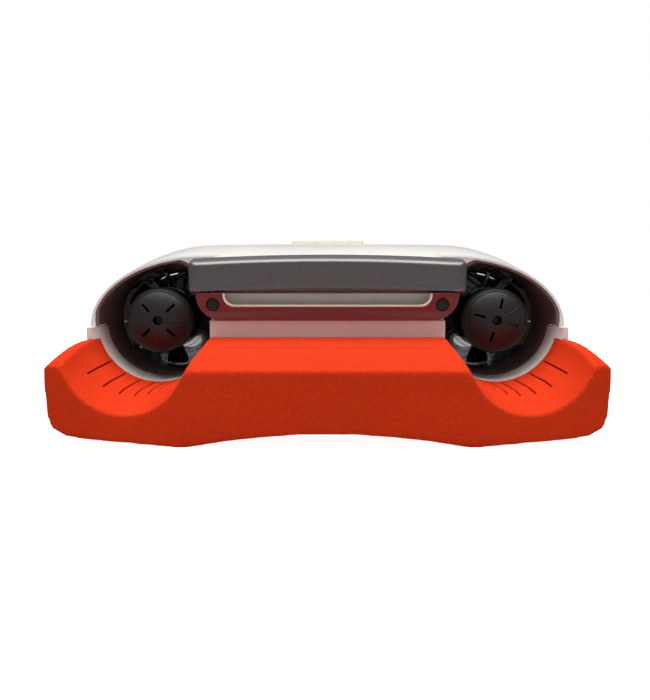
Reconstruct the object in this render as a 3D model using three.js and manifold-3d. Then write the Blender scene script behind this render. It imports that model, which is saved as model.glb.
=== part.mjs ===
// A twin-thruster underwater scooter lying on its foam float, built as separate named pieces.
// Millimetres. X to the right seen from behind, +Y forward, +Z up. The float's feet stand on Z = 0.
// "t" is always a distance forward from the tail, "s" a distance forward from a tunnel mouth.
import * as THREE from 'three';
import { mergeVertices } from 'three/addons/utils/BufferGeometryUtils.js';
import Module from 'manifold-3d';

const wasm = await Module();
wasm.setup();

// ---------------------------------------------------------------- driving sizes
const LENGTH = 505;
const WIDTH = 396;
const GAP = 0.3; // between neighbours
const WALL = 3; // covers
const PARTING_Z = 76; // upper cover meets lower cover
const CROWN_HEIGHT = 72.5; // tallest section of the upper cover above the parting line
const CROWN_T = 250; // where that section is
const CROWN_BULGE = 2.5; // how far the middle of a section stands above its shoulders
const REAR_DROP = 16.2; // the crown at the mouths is this much lower than at CROWN_T
const DECK_HEIGHT = 30; // upper cover above the parting line at the front deck
const DECK_T = 440;
const SHOULDER_SHARE = 0.45; // horizontal half axis of a shoulder, as a share of the half width

const FLOAT_TOP_Z = 66;
const FLOAT_TAIL_Z = 52;
const FLOAT_RAMP = 95; // the float's top climbs over this length
const FLOAT_CROWN = 3.5; // middle of the float's top above its sides
const FLOAT_ARCH = 8.6; // its underside stands this high in the middle
const FOOT_FROM = 0.49; // the flat feet under the float, as shares of its half width
const FOOT_TO = 0.55;
const TUB_Z = 26; // underside of the lower cover
const TUB_INSET = 15; // the tub is narrower than the hull by this much at each side
const FLANGE_INSET = 1.5;
const MIDDLE_T = 85; // its rear face
const MIDDLE_TOP_Z = 82;
const COVER_T = 96.5; // rear edge of the upper cover over the battery
const BULKHEAD = 6; // rear wall thickness of the covers

const TUNNEL_INSET = 59; // from the hull's side in to a tunnel mouth's middle
const MOUTH_T = 113;
const MOUTH_X = WIDTH / 2 - TUNNEL_INSET;
const MIDDLE_HALF = MOUTH_X - 46.5; // half width of the middle block between the tunnels
const MOUTH_Z = 81;
const MOUTH_RADIUS = 50.5;
const TOE_DEG = 2.86; // the tunnels run outward going forward
const LIP_DEPTH = 25; // white lip of the lower cover inside the mouth
const DUCT_S = 73; // the glossy duct starts here
const DUCT_RADIUS = 45.3;
const DUCT_WALL = 2.5;
const DUCT_LENGTH = 77;
const LINER_WALL = 2;

const HUB_RADIUS = 27.2;
const HUB_WALL = 2.6;
const ROTOR_WALL = 4;
const TEETH = 9; // of the stator
const HUB_END_S = 104;
const DOME_APEX_S = -6.4;
const DOME_RIM_S = 7;
const DOME_END_S = 10;
const DOME_WALL = 2.4;
const BLADES = 3;
const BLADE_REST_DEG = 60; // no blade stands in front of an intake at rest
const RIGHT_CAP_REST_DEG = 60; // the right hub cap stands turned against the left one
const BLADE_TIP_GAP = 1;
const BLADE_S = 90;
const VANES = 5;
const SHAFT_RADIUS = 3;
const TUBE_RADIUS = 10; // the fixed tube that carries the motor
const BEARING_RADIUS = 7.5;

const CAP_HALF = MIDDLE_HALF + 16.7; // battery end cap, over the tunnels' inner edges
const CAP_T = 80;
const CAP_BOTTOM_Z = 106.3;
const CAP_TOP_Z = 130;
const CAP_FLARE_Z = 134;
const PACK_HALF = MIDDLE_HALF - 4.5;
const PACK_LENGTH = 126;
const PACK_Z = 107;
const PACK_HEIGHT = 20.5;
const CELL_RADIUS = 9;
const CELL_LENGTH = PACK_HALF - 25; // two cells end to end across the pack
const FRAME_HALF = MIDDLE_HALF + 10; // red frame
const FRAME_THICKNESS = 4.5;
const FRAME_CORNER = 22;
const CUP_HALF = FRAME_HALF - 20.8; // finger recess, between the two screws
const CUP_HEIGHT = 10.5;
const CUP_DEPTH = 15;
const CUP_WALL = 1.6;
const CUP_CORNER = 9;
const PLUG_X = FRAME_HALF - 13.2;
const PLUG_Z = 94.7;
const PLUG_RADIUS = 5;

const GRIP_T = 381; // middle of a hand grip
const GRIP_INSET = 48; // from the hull's side in to a grip
const GRIP_X = WIDTH / 2 - GRIP_INSET;
const GRIP_TURN_DEG = 22.4;
const GRIP_OPENING = 104;
const GRIP_REACH = 54; // from the grip's middle line to the inner end of the hand opening
const GRIP_CORE_RADIUS = 10;
const GRIP_RADIUS = 15.5;
const GRIP_Z = 62;
const TRIGGER_LENGTH = 50;

const LATCH_WIDTH = 72;
const LATCH_LENGTH = 14;
const LATCH_TRAVEL = 6;
const LATCH_RISE = 4.5;

const FINE = 28; // sides of the big round pieces
const ROUND = 16;
const SMALL = 12;

const half = LENGTH / 2;
const yAt = (t) => t - half;
const rad = THREE.MathUtils.degToRad;
const toe = rad(TOE_DEG);

// ---------------------------------------------------------------- looks
const looks = {
  white: { color: '#f2f0ec', roughness: 0.25, metalness: 0 },
  foam: { color: '#e2481c', roughness: 0.95, metalness: 0 },
  darkPlastic: { color: '#3b3836', roughness: 0.6, metalness: 0 },
  glossBlack: { color: '#0a0c10', roughness: 0.12, metalness: 0 },
  mattBlack: { color: '#1d1a18', roughness: 0.8, metalness: 0 },
  gunmetal: { color: '#5b5856', roughness: 0.35, metalness: 0.8 },
  red: { color: '#6e1d1f', roughness: 0.4, metalness: 0 },
  beige: { color: '#dccdbd', roughness: 0.45, metalness: 0 },
  rubber: { color: '#141414', roughness: 0.9, metalness: 0 },
  steel: { color: '#a9abad', roughness: 0.3, metalness: 1 },
  copper: { color: '#b4683a', roughness: 0.4, metalness: 1 },
  board: { color: '#14503a', roughness: 0.5, metalness: 0 },
  cell: { color: '#3a6ea8', roughness: 0.5, metalness: 0 },
  brass: { color: '#c9a04a', roughness: 0.35, metalness: 1 },
  glass: { color: '#101418', roughness: 0.05, metalness: 0 },
};

const scooter = new THREE.Group();
scooter.name = 'underwater_scooter';

// ---------------------------------------------------------------- solids
function toSolid(geometry) {
  const bare = geometry.clone();
  bare.deleteAttribute('normal');
  bare.deleteAttribute('uv');
  const merged = mergeVertices(bare, 1e-4);
  const index = merged.index.array;
  const triangles = [];
  for (let i = 0; i < index.length; i += 3) {
    const [a, b, c] = [index[i], index[i + 1], index[i + 2]];
    if (a !== b && b !== c && c !== a) triangles.push(a, b, c);
  }
  const vertices = Float32Array.from(merged.attributes.position.array);
  const build = (verts) =>
    new wasm.Manifold(
      new wasm.Mesh({ numProp: 3, vertProperties: vertices, triVerts: Uint32Array.from(verts) }),
    );
  const solid = build(triangles);
  if (solid.volume() > 0) return solid;
  return build(triangles.reverse());
}

function toGeometry(solid) {
  const mesh = solid.getMesh();
  const geometry = new THREE.BufferGeometry();
  geometry.setAttribute('position', new THREE.BufferAttribute(mesh.vertProperties, 3));
  geometry.setIndex(new THREE.BufferAttribute(mesh.triVerts, 1));
  const faceted = geometry.toNonIndexed();
  faceted.computeVertexNormals();
  return faceted;
}

function addNode(name, shape, look, parent = scooter) {
  const geometry = shape.isBufferGeometry ? shape : toGeometry(shape);
  const mesh = new THREE.Mesh(geometry, new THREE.MeshStandardMaterial(looks[look]));
  mesh.name = name;
  parent.add(mesh);
  return mesh;
}

const join = (...solids) => solids.reduce((whole, piece) => whole.add(piece));

function box(x0, x1, y0, y1, z0, z1) {
  const geometry = new THREE.BoxGeometry(x1 - x0, y1 - y0, z1 - z0);
  geometry.translate((x0 + x1) / 2, (y0 + y1) / 2, (z0 + z1) / 2);
  return toSolid(geometry);
}

// A round bar along +Y from y0 to y1, its end radii r0 and r1.
function bar(r0, y0, y1, sides = ROUND, r1 = r0) {
  const geometry = new THREE.CylinderGeometry(r1, r0, y1 - y0, sides);
  geometry.translate(0, (y0 + y1) / 2, 0);
  return toSolid(geometry);
}

function ringBar(outer, inner, y0, y1, sides = ROUND) {
  return bar(outer, y0, y1, sides).subtract(bar(inner, y0 - 1, y1 + 1, sides));
}

// A solid turned round the Y axis. Each profile point is [radius, y], from one end to the other.
function turned(profile, sides = ROUND) {
  const points = profile.map(([r, y]) => new THREE.Vector2(r, y));
  return toSolid(new THREE.LatheGeometry(points, sides));
}

function moved(solid, matrix) {
  return toSolid(toGeometry(solid).applyMatrix4(matrix));
}

const shift = (x, y, z) => new THREE.Matrix4().makeTranslation(x, y, z);
const standUp = new THREE.Matrix4().makeRotationX(Math.PI / 2); // Y to Z
const lieAcross = new THREE.Matrix4().makeRotationZ(-Math.PI / 2); // Y to X

function uprightBar(radius, x, y, z0, z1, sides = SMALL) {
  return moved(moved(bar(radius, z0, z1, sides), standUp), shift(x, y, 0));
}

// A flat outline in plan, raised from z0 to z1.
function prism(points, z0, z1) {
  const shape = new THREE.Shape(points.map(([x, y]) => new THREE.Vector2(x, y)));
  const geometry = new THREE.ExtrudeGeometry(shape, { depth: z1 - z0, bevelEnabled: false });
  geometry.translate(0, 0, z0);
  return toSolid(geometry);
}

// Corner points of a rounded rectangle about the origin.
function roundedRectangle(halfX, halfY, radius, steps = 3) {
  const points = [];
  const corners = [[1, -1, -90], [1, 1, 0], [-1, 1, 90], [-1, -1, 180]];
  for (const [sx, sy, start] of corners) {
    for (let i = 0; i <= steps; i++) {
      const angle = rad(start + (90 * i) / steps);
      points.push([
        sx * (halfX - radius) + radius * Math.cos(angle),
        sy * (halfY - radius) + radius * Math.sin(angle),
      ]);
    }
  }
  return points;
}

// A closed solid through a row of outlines, each { y, outline } with [x, z] points anticlockwise
// seen from behind.
function loft(stations) {
  const count = stations[0].outline.length;
  const points = stations.flatMap(({ y, outline }) => outline.flatMap(([x, z]) => [x, y, z]));
  const faces = [];
  for (let s = 0; s < stations.length - 1; s++) {
    for (let i = 0; i < count; i++) {
      const a = s * count + i;
      const b = s * count + ((i + 1) % count);
      faces.push(a, b + count, b, a, a + count, b + count);
    }
  }
  // each end is closed by a fan round the middle of its outline
  const last = (stations.length - 1) * count;
  for (const [station, first] of [[stations[0], 0], [stations.at(-1), last]]) {
    const middle = points.length / 3;
    const mean = (axis) => station.outline.reduce((sum, point) => sum + point[axis], 0) / count;
    points.push(mean(0), station.y, mean(1));
    for (let i = 0; i < count; i++) {
      const next = first + ((i + 1) % count);
      faces.push(...(first === 0 ? [middle, i, next] : [middle, next, first + i]));
    }
  }
  const geometry = new THREE.BufferGeometry();
  geometry.setAttribute('position', new THREE.Float32BufferAttribute(points, 3));
  geometry.setIndex(faces);
  return toSolid(geometry);
}

// ---------------------------------------------------------------- hull curves
const clamp01 = (value) => Math.min(Math.max(value, 0), 1);
const NOSE_ROUND_T = 380; // forward of this the nose closes
const WIDE_T = 200; // the hull is widest here

function hullHalf(t) {
  if (t < WIDE_T) return WIDTH / 2 - 3 * ((WIDE_T - t) / 95) ** 2;
  return (WIDTH / 2) * Math.sqrt(1 - clamp01((t - WIDE_T) / (LENGTH - WIDE_T)) ** 3);
}

function floatHalf(t) {
  if (t < WIDE_T) return WIDTH / 2 - 4.5 * ((WIDE_T - t) / WIDE_T) ** 2;
  return hullHalf(t);
}

const noseClose = (t, from) => Math.sqrt(1 - clamp01((t - from) / (LENGTH - from)) ** 2.5);

function crownHeight(t) {
  if (t < CROWN_T) return CROWN_HEIGHT - REAR_DROP * ((CROWN_T - t) / 135) ** 2;
  const fall = Math.cos((Math.PI / 2) * clamp01((t - CROWN_T) / (DECK_T - CROWN_T))) ** 2;
  return (DECK_HEIGHT + (CROWN_HEIGHT - DECK_HEIGHT) * fall) * noseClose(t, NOSE_ROUND_T);
}

// Outer height of the upper cover over a place in plan.
function coverZ(x, t) {
  const across = Math.abs(x) / hullHalf(t);
  const overShoulder = clamp01((across - (1 - SHOULDER_SHARE)) / SHOULDER_SHARE);
  const bulge = (CROWN_BULGE * crownHeight(t)) / CROWN_HEIGHT;
  return PARTING_Z + crownHeight(t) * Math.sqrt(1 - overShoulder ** 2) + bulge * (1 - across ** 2);
}

// Distances forward at which the lofts have a section: the same places for every loft of the hull,
// closer together towards the nose, with the loft's own ends added.
function sectionPlaces(from, to) {
  const places = [from];
  const count = 12;
  for (let i = 0; i < count; i++) {
    const t = FLOAT_RAMP + (LENGTH - FLOAT_RAMP) * Math.sin((Math.PI / 2) * (i / count));
    if (t > from + 1 && t < to - 0.5) places.push(t);
  }
  return [...places, to];
}

function coverOutline(t, inset, base) {
  const halfWidth = Math.max(hullHalf(t) - inset, 0.4);
  const height = Math.max(crownHeight(t) - inset, 0.4);
  const bulge = (CROWN_BULGE * crownHeight(t)) / CROWN_HEIGHT;
  const shoulder = SHOULDER_SHARE * halfWidth;
  const right = [];
  const steps = 5;
  const raised = (x, rise) => [x, PARTING_Z + rise + bulge * (1 - (x / halfWidth) ** 2)];
  for (let i = 0; i <= steps; i++) {
    const angle = rad((90 * i) / steps);
    right.push(raised(halfWidth - shoulder + shoulder * Math.cos(angle), height * Math.sin(angle)));
  }
  right.push(raised((halfWidth - shoulder) / 2, height));
  const left = right.toReversed().map(([x, z]) => [-x, z]);
  return [[halfWidth, base], ...right, [0, PARTING_Z + height + bulge], ...left, [-halfWidth, base]];
}

// The upper body: the outer shape at inset 0, shapes inside it at larger insets.
function upperBody(inset, from, base = PARTING_Z - 1) {
  const places = sectionPlaces(from, LENGTH - inset - 0.05);
  return loft(
    places.map((t) => ({ y: yAt(t), outline: coverOutline(t + inset, inset, base) })),
  );
}

function tubOutline(t, inset, grow, top) {
  const halfWidth = Math.max(hullHalf(t) - TUB_INSET - inset + grow, 1);
  const depth = (FLOAT_TOP_Z - TUB_Z) * noseClose(t, 300);
  const bottom = FLOAT_TOP_Z - depth + inset - grow;
  const corner = Math.min(14, halfWidth / 2, depth / 2);
  const right = [];
  for (let i = 0; i <= 4; i++) {
    const angle = rad(-90 + (90 * i) / 4);
    right.push([
      halfWidth - corner + corner * Math.cos(angle),
      bottom + corner + corner * Math.sin(angle),
    ]);
  }
  right.push([halfWidth, top]);
  return [...right, ...right.toReversed().map(([x, z]) => [-x, z])];
}

function tub(inset, from, grow = 0, top = PARTING_Z - 0.3) {
  const places = sectionPlaces(from, LENGTH - TUB_INSET - 2 - inset + grow);
  return loft(places.map((t) => ({ y: yAt(t), outline: tubOutline(t + inset, inset, grow, top) })));
}

// A slab with the hull's outline in plan, from z0 up to the parting line.
function planSlab(z0, grow = 0) {
  const outline = (t) => {
    const x = Math.max(hullHalf(t) - FLANGE_INSET + grow, 0.5);
    const z1 = PARTING_Z - GAP / 2;
    return [[x, z0], [x, z1], [-x, z1], [-x, z0]];
  };
  const places = sectionPlaces(FLOAT_RAMP - grow, LENGTH - 1);
  return loft(places.map((t) => ({ y: yAt(t), outline: outline(t) })));
}

const flange = (grow = 0) => planSlab(FLOAT_TOP_Z + GAP - grow, grow);

// ---------------------------------------------------------------- tunnels, in their own frame
// The frame's +Y runs forward along the tunnel from the middle of its mouth.
function tunnelFrame(side) {
  const turn = new THREE.Matrix4().makeRotationZ(-side * toe);
  return shift(side * MOUTH_X, yAt(MOUTH_T), MOUTH_Z).multiply(turn);
}

const tunnelRadius = (s) => MOUTH_RADIUS + ((DUCT_RADIUS - MOUTH_RADIUS) * s) / DUCT_S;

// The tunnel's cone from s0 to s1, grown outwards.
function tunnelCone(side, grow, s0, s1) {
  const cone = bar(tunnelRadius(s0) + grow, s0, s1, FINE, tunnelRadius(s1) + grow);
  return moved(cone, tunnelFrame(side));
}

const lipVoid = (side, grow = 0) => tunnelCone(side, grow, -6, LIP_DEPTH + 0.5);
const linerVoid = (side, grow = 0, from = -8) => tunnelCone(side, grow, from, DUCT_S + 0.5);

const SCOOP_HALF = 33;
const SCOOP_CORNER = 12;
const RIM_WIDTH = 3; // of the grille
const SLAT_WIDTH = 2.2;
const SLAT_STEP = 14;
const SLAT_TURN_DEG = 35;
const SLATS_EACH_SIDE = 3;
const SCOOP_FROM_S = DUCT_S + 50;
const SCOOP_TO_S = DUCT_S + 124;

// The shaft of water under an intake, from z0 to z1.
function scoop(grow, z0, z1) {
  const middle = (SCOOP_FROM_S + SCOOP_TO_S) / 2;
  const halfLength = (SCOOP_TO_S - SCOOP_FROM_S) / 2 + grow;
  const outline = roundedRectangle(SCOOP_HALF + grow, halfLength, SCOOP_CORNER);
  return prism(outline.map(([x, y]) => [x, y + middle]), z0, z1);
}

// The duct's outer or inner shape: a tube closed by a ball, with a scoop up to the intake.
function ductShape(grow) {
  const radius = DUCT_RADIUS + grow;
  const tube = bar(radius, DUCT_S - grow, DUCT_S + DUCT_LENGTH, FINE);
  const ball = new THREE.SphereGeometry(radius, FINE, 7);
  ball.translate(0, DUCT_S + DUCT_LENGTH, 0);
  return join(tube, toSolid(ball), scoop(grow, 0, 100));
}

function ductOuter(side, extra = 0) {
  return moved(ductShape(DUCT_WALL + extra), tunnelFrame(side));
}

// The trough behind a mouth, open at the top and flat towards the middle block.
function troughOutline(side, x, z, radius, top) {
  const outline = [];
  for (let i = 0; i <= 14; i++) {
    const angle = rad(-180 + (180 * i) / 14);
    outline.push([side * x + radius * Math.cos(angle), z + radius * Math.sin(angle)]);
  }
  outline.push([side * x + radius, top], [side * x - radius, top]);
  return outline;
}

function trough(side, to) {
  // each place's middle and radius are the mouth's, lowered and narrowed
  const stations = [
    { t: -2, drop: 16, narrower: 6.1 },
    { t: 6, drop: 14.7, narrower: 5.5 },
    { t: 25, drop: 8.4, narrower: 3.7 },
    { t: 60, drop: 1.4, narrower: 1.2 },
    { t: to, drop: 0, narrower: 0 },
  ];
  const whole = loft(
    stations.map(({ t, drop, narrower }) => ({
      y: yAt(t),
      outline: troughOutline(side, MOUTH_X, MOUTH_Z - drop, MOUTH_RADIUS - narrower, 150),
    })),
  );
  const middleBlock = box(-MIDDLE_HALF, MIDDLE_HALF, -LENGTH, LENGTH, 0, 200);
  return whole.subtract(middleBlock);
}

// The rim of a trough leans outwards at the tail: two wedges that die out going forward.
function troughRim(side) {
  // [sideways from the trough's middle, height]
  const outerWedge = [[21, 50], [36, 39], [42.5, 45.5], [49, 49.3], [71, 53.5], [71, 90], [21, 90]];
  const innerWedge = [[-21, 90], [-59, 90], [-59, 52.6], [-46, 50.4], [-41, 46], [-36, 40], [-21, 50]];
  const wedge = (points) =>
    loft(
      [[-2, 0], [24, 15]].map(([t, rise]) => ({
        y: yAt(t),
        outline: points.map(([out, z]) => [side * (MOUTH_X + out), z + rise]),
      })),
    );
  return wedge(outerWedge).add(wedge(innerWedge));
}

// ---------------------------------------------------------------- hand openings
const sides = [-1, 1];
const sideName = (side) => (side < 0 ? 'left' : 'right');

// The frame's +Y runs forward along the grip, +X away from the middle on the right side.
function gripFrame(side) {
  const turn = new THREE.Matrix4().makeRotationZ(side * rad(GRIP_TURN_DEG));
  return shift(side * GRIP_X, yAt(GRIP_T), 0).multiply(turn);
}

function handOpening(side, grow = 0) {
  const halfLength = GRIP_OPENING / 2 + grow;
  const inner = -GRIP_REACH - grow;
  const outer = 90;
  const halfX = (outer - inner) / 2;
  const outline = roundedRectangle(halfX, halfLength, 14).map(([x, y]) => [
    side * (x + (outer + inner) / 2),
    y,
  ]);
  return moved(prism(outline, -20, 220), gripFrame(side));
}

const bothSides = (shapeFor) => join(...sides.map(shapeFor));
const gripHoles = (radius) =>
  bothSides((side) =>
    moved(
      bar(radius, -GRIP_OPENING / 2 - 16, GRIP_OPENING / 2 + 16, ROUND),
      gripFrame(side).multiply(shift(0, 0, GRIP_Z)),
    ),
  );

// ---------------------------------------------------------------- cover screws
const SCREW_PLACES = [[-58, 452], [58, 452]];
const SCREW_RADIUS = 2;
const SCREW_HEAD_RADIUS = 4;
const SCREW_HEAD = 3;

function screwTop(x, t) {
  return Math.min(coverZ(x, t - 5), coverZ(x, t + 5)) - 1;
}

function screwHoles() {
  const each = ([x, t]) => {
    const top = screwTop(x, t);
    const shank = uprightBar(SCREW_RADIUS + GAP, x, yAt(t), 40, 160, SMALL);
    const head = uprightBar(SCREW_HEAD_RADIUS + GAP, x, yAt(t), top - SCREW_HEAD - GAP, 160, SMALL);
    return shank.add(head);
  };
  return join(...SCREW_PLACES.map(each));
}

function screwBosses() {
  const each = ([x, t]) => uprightBar(SCREW_HEAD_RADIUS + WALL, x, yAt(t), 30, 160, SMALL);
  return join(...SCREW_PLACES.map(each));
}

function addCoverScrews() {
  SCREW_PLACES.forEach(([x, t], i) => {
    const top = screwTop(x, t);
    const head = uprightBar(SCREW_HEAD_RADIUS, x, yAt(t), top - SCREW_HEAD, top, SMALL);
    const shank = uprightBar(SCREW_RADIUS, x, yAt(t), 58, top - 1, SMALL);
    const socket = uprightBar(SCREW_RADIUS, x, yAt(t), top - 1.8, top + 1, 6);
    addNode(`cover_screw_${i + 1}`, head.add(shank).subtract(socket), 'steel');
  });
}

// ---------------------------------------------------------------- battery and its bay
const PACK_T = CAP_T + 16.2; // rear end of the case, just inside the end cap
const TRAY_WALL = 2;

function trayOuter(grow = 0) {
  const x = PACK_HALF + 2 * GAP + TRAY_WALL + grow;
  const z0 = PACK_Z - 2 * GAP - TRAY_WALL - grow;
  const z1 = PACK_Z + PACK_HEIGHT + 2 * GAP + TRAY_WALL + grow;
  return box(-x, x, yAt(COVER_T) - grow, yAt(PACK_T + PACK_LENGTH + 5) + grow, z0, z1);
}

function addTray() {
  const x = PACK_HALF + 2 * GAP;
  const room = box(
    -x,
    x,
    yAt(COVER_T) - 5,
    yAt(PACK_T + PACK_LENGTH + 5 - TRAY_WALL),
    PACK_Z - 2 * GAP,
    PACK_Z + PACK_HEIGHT + 2 * GAP,
  );
  const wire = box(-12, 12, yAt(PACK_T + PACK_LENGTH), yAt(PACK_T + PACK_LENGTH + 9), 112, 122);
  addNode('battery_tray', trayOuter().subtract(room).subtract(wire), 'darkPlastic');
  const block = box(
    -26,
    26,
    yAt(PACK_T + PACK_LENGTH + GAP),
    yAt(PACK_T + PACK_LENGTH + 5 - TRAY_WALL - GAP),
    PACK_Z + 2,
    PACK_Z + PACK_HEIGHT - 2,
  );
  addNode('contact_block', block, 'brass');
}

function capOutline(halfWidth, bottom, top) {
  const bow = 2.6;
  const right = [];
  for (let i = 0; i <= 6; i++) {
    const x = (halfWidth * i) / 6;
    right.push([x, bottom - bow * (i / 6) ** 2]);
  }
  for (let i = 6; i >= 0; i--) {
    const x = (halfWidth * i) / 6;
    right.push([x, top - (bow + 0.7) * (i / 6) ** 2]);
  }
  const left = right.slice(1, -1).toReversed().map(([x, z]) => [-x, z]);
  return [...right, ...left];
}

function addBattery() {
  const depth = COVER_T - 2 * GAP - CAP_T;
  const round = 8.4;
  const stations = [];
  for (let i = 0; i <= 6; i++) {
    const angle = rad((90 * i) / 6);
    const into = (1 - Math.cos(angle)) * round;
    const inset = (1 - Math.sin(angle)) * round;
    const top = CAP_TOP_Z + (CAP_FLARE_Z - CAP_TOP_Z) * (into / depth);
    stations.push({ y: yAt(CAP_T + into), outline: capOutline(CAP_HALF - inset, CAP_BOTTOM_Z, top) });
  }
  stations.push({
    y: yAt(CAP_T + depth),
    outline: capOutline(CAP_HALF, CAP_BOTTOM_Z, CAP_FLARE_Z),
  });
  const bossHole = box(-60, 60, yAt(CAP_T + depth - 6), yAt(CAP_T + depth + 1), 110, 124);
  addNode('battery_end_cap', loft(stations).subtract(bossHole), 'gunmetal');

  const y0 = yAt(PACK_T);
  const y1 = yAt(PACK_T + PACK_LENGTH);
  const z1 = PACK_Z + PACK_HEIGHT;
  const wall = 0.8;
  const shell = box(-PACK_HALF, PACK_HALF, y0, y1 - 2, PACK_Z, z1);
  const room = box(-PACK_HALF + wall, PACK_HALF - wall, y0 + wall, y1 + 1, PACK_Z + wall, z1 - wall);
  addNode('battery_case', shell.subtract(room), 'darkPlastic');
  const plate = box(-PACK_HALF + 1.2, PACK_HALF - 1.2, y1 - 3.6, y1 - 2.2, PACK_Z + 1.2, z1 - 1.2);
  const pads = [-18, -6, 6, 18].map((x) => box(x - 3, x + 3, y1 - 3.6, y1 - 0.6, 113, 121));
  addNode('battery_contact_plate', join(plate, ...pads), 'brass');
  addCells(y0, y1);
}

function addCells(y0, y1) {
  const middleZ = PACK_Z + PACK_HEIGHT / 2;
  const pitch = 2 * CELL_RADIUS + 0.6;
  const rows = 5;
  const firstY = y0 + 1.4 + CELL_RADIUS;
  const solids = [];
  for (let row = 0; row < rows; row++) {
    for (const start of [-CELL_LENGTH - 0.5, 0.5]) {
      const lying = moved(bar(CELL_RADIUS, start, start + CELL_LENGTH, SMALL), lieAcross);
      solids.push(moved(lying, shift(0, firstY + row * pitch, middleZ)));
    }
  }
  const lastY = firstY + (rows - 1) * pitch;
  const strip = box(-CELL_LENGTH, CELL_LENGTH, firstY, lastY, middleZ - 2, middleZ + 2);
  addNode('battery_cells', join(...solids, strip), 'cell');
  const boardY = lastY + CELL_RADIUS + 2;
  const boardHalf = PACK_HALF - 8;
  const board = box(-boardHalf, boardHalf, boardY, y1 - 5, PACK_Z + 3, PACK_Z + 4.6);
  const chips = [-0.62, -0.25, 0.19, 0.6].map((share) => {
    const x = share * boardHalf;
    return box(x - 7, x + 7, boardY + 3, boardY + 13, PACK_Z + 4, PACK_Z + 9);
  });
  addNode('protection_board', join(board, ...chips), 'board');
}

// ---------------------------------------------------------------- red frame, finger recess, plugs
const FRAME_T = MIDDLE_T - FRAME_THICKNESS - GAP;
const FRAME_TOP_Z = CAP_BOTTOM_Z - 2.6 - GAP;

function frameOutline(halfWidth, bottom, top, corner) {
  const points = [[halfWidth, top]];
  const round = Math.min(corner, top - bottom - 0.5); // the plate limits its own corners
  for (let i = 0; i <= 6; i++) {
    const angle = rad((-90 * i) / 6);
    points.push([
      halfWidth - round + round * Math.cos(angle),
      bottom + round + round * Math.sin(angle),
    ]);
  }
  return [...points.toReversed(), ...points.map(([x, z]) => [-x, z])];
}

function uprightPlate(outline, t0, t1) {
  return loft([t0, t1].map((t) => ({ y: yAt(t), outline })));
}

// The finger recess's outer shape between two places, grown or shrunk.
function cupShape(grow, top, t0, t1) {
  const bottom = FRAME_TOP_Z - CUP_HEIGHT - grow;
  return uprightPlate(frameOutline(CUP_HALF + grow, bottom, top, CUP_CORNER), t0, t1);
}

// A round bar forward from the frame's rear face, at one of its two screws.
const atScrew = (side, radius, from, to) =>
  moved(bar(radius, from, to, SMALL), shift(side * PLUG_X, yAt(FRAME_T), PLUG_Z));

function addRearFrame() {
  const plate = uprightPlate(
    frameOutline(FRAME_HALF, MIDDLE_TOP_Z + GAP, FRAME_TOP_Z, FRAME_CORNER),
    FRAME_T,
    FRAME_T + FRAME_THICKNESS,
  );
  const slot = cupShape(GAP, FRAME_TOP_Z + 5, FRAME_T - 1, FRAME_T + 30);
  const screwHole = (side) => atScrew(side, SCREW_RADIUS + GAP, -20, 40);
  const plugHole = (side) => atScrew(side, PLUG_RADIUS + GAP, -5, 3);
  const frame = plate.subtract(slot).subtract(bothSides(screwHole)).subtract(bothSides(plugHole));
  addNode('rear_frame', frame, 'red');

  const cup = cupShape(0, FRAME_TOP_Z, FRAME_T + 0.4, FRAME_T + CUP_DEPTH);
  const cupRoom = cupShape(-CUP_WALL, FRAME_TOP_Z + 5, FRAME_T - 2, FRAME_T + CUP_DEPTH - CUP_WALL);
  addNode('finger_recess', cup.subtract(cupRoom), 'beige');

  for (const side of sides) {
    const name = sideName(side);
    addNode(`screw_plug_${name}`, atScrew(side, PLUG_RADIUS, 0.8, 1.7), 'rubber');
    const screw = atScrew(side, 3.6, 2, 2.8).add(atScrew(side, SCREW_RADIUS, 2.5, 18));
    addNode(`frame_screw_${name}`, screw, 'steel');
  }
}

// Space that the frame's parts take out of the covers.
function rearCuts() {
  const screws = bothSides((side) => atScrew(side, SCREW_RADIUS + GAP, -5, 26));
  return screws.add(cupShape(GAP, FRAME_TOP_Z + 0.1, FRAME_T - 1, FRAME_T + CUP_DEPTH + GAP));
}

// ---------------------------------------------------------------- latch, display, button
const LATCH_T = CROWN_T;

function latchPlaces() {
  const top = coverZ(0, LATCH_T);
  return { y: yAt(LATCH_T), top };
}

function latchSlot() {
  const { y, top } = latchPlaces();
  const x = LATCH_WIDTH / 2 + GAP;
  const reach = LATCH_LENGTH / 2 + GAP;
  const pocket = box(-x, x, y - reach, y + reach + LATCH_TRAVEL, top - 3.2, top + 20);
  const stem = box(-9 - GAP, 9 + GAP, y - 5 - GAP, y + 5 + GAP + LATCH_TRAVEL, top - 60, top);
  return pocket.add(stem);
}

function latchFloor() {
  const { y, top } = latchPlaces();
  const x = LATCH_WIDTH / 2 + 4;
  return box(-x, x, y - 12, y + 12 + LATCH_TRAVEL, top - 6.2, top);
}

function addLatch() {
  const { y, top } = latchPlaces();
  const across = roundedRectangle(LATCH_WIDTH / 2, LATCH_LENGTH / 2, 4).map(([x, dy]) => [x, y + dy]);
  const button = prism(across, top - 3, top + LATCH_RISE);
  const stem = box(-9, 9, y - 5, y + 5, top - 16, top - 2);
  const foot = box(-14, 14, y - 30, y + 5, top - 18.5, top - 14);
  addNode('release_bar', join(button, stem, foot), 'beige');
  const leaf = box(-7, 7, y + 5 + LATCH_TRAVEL + 1, y + 5 + LATCH_TRAVEL + 1.8, top - 20, top - 6.6);
  addNode('latch_spring', leaf, 'steel');
}

const DISPLAY_T = 400;
const BUTTON_T = 436;
const BUTTON_RADIUS = 7;
const STEM_RADIUS = 3;

function slopeAt(t) {
  return Math.atan2(coverZ(0, t + 12) - coverZ(0, t - 12), 24);
}

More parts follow.
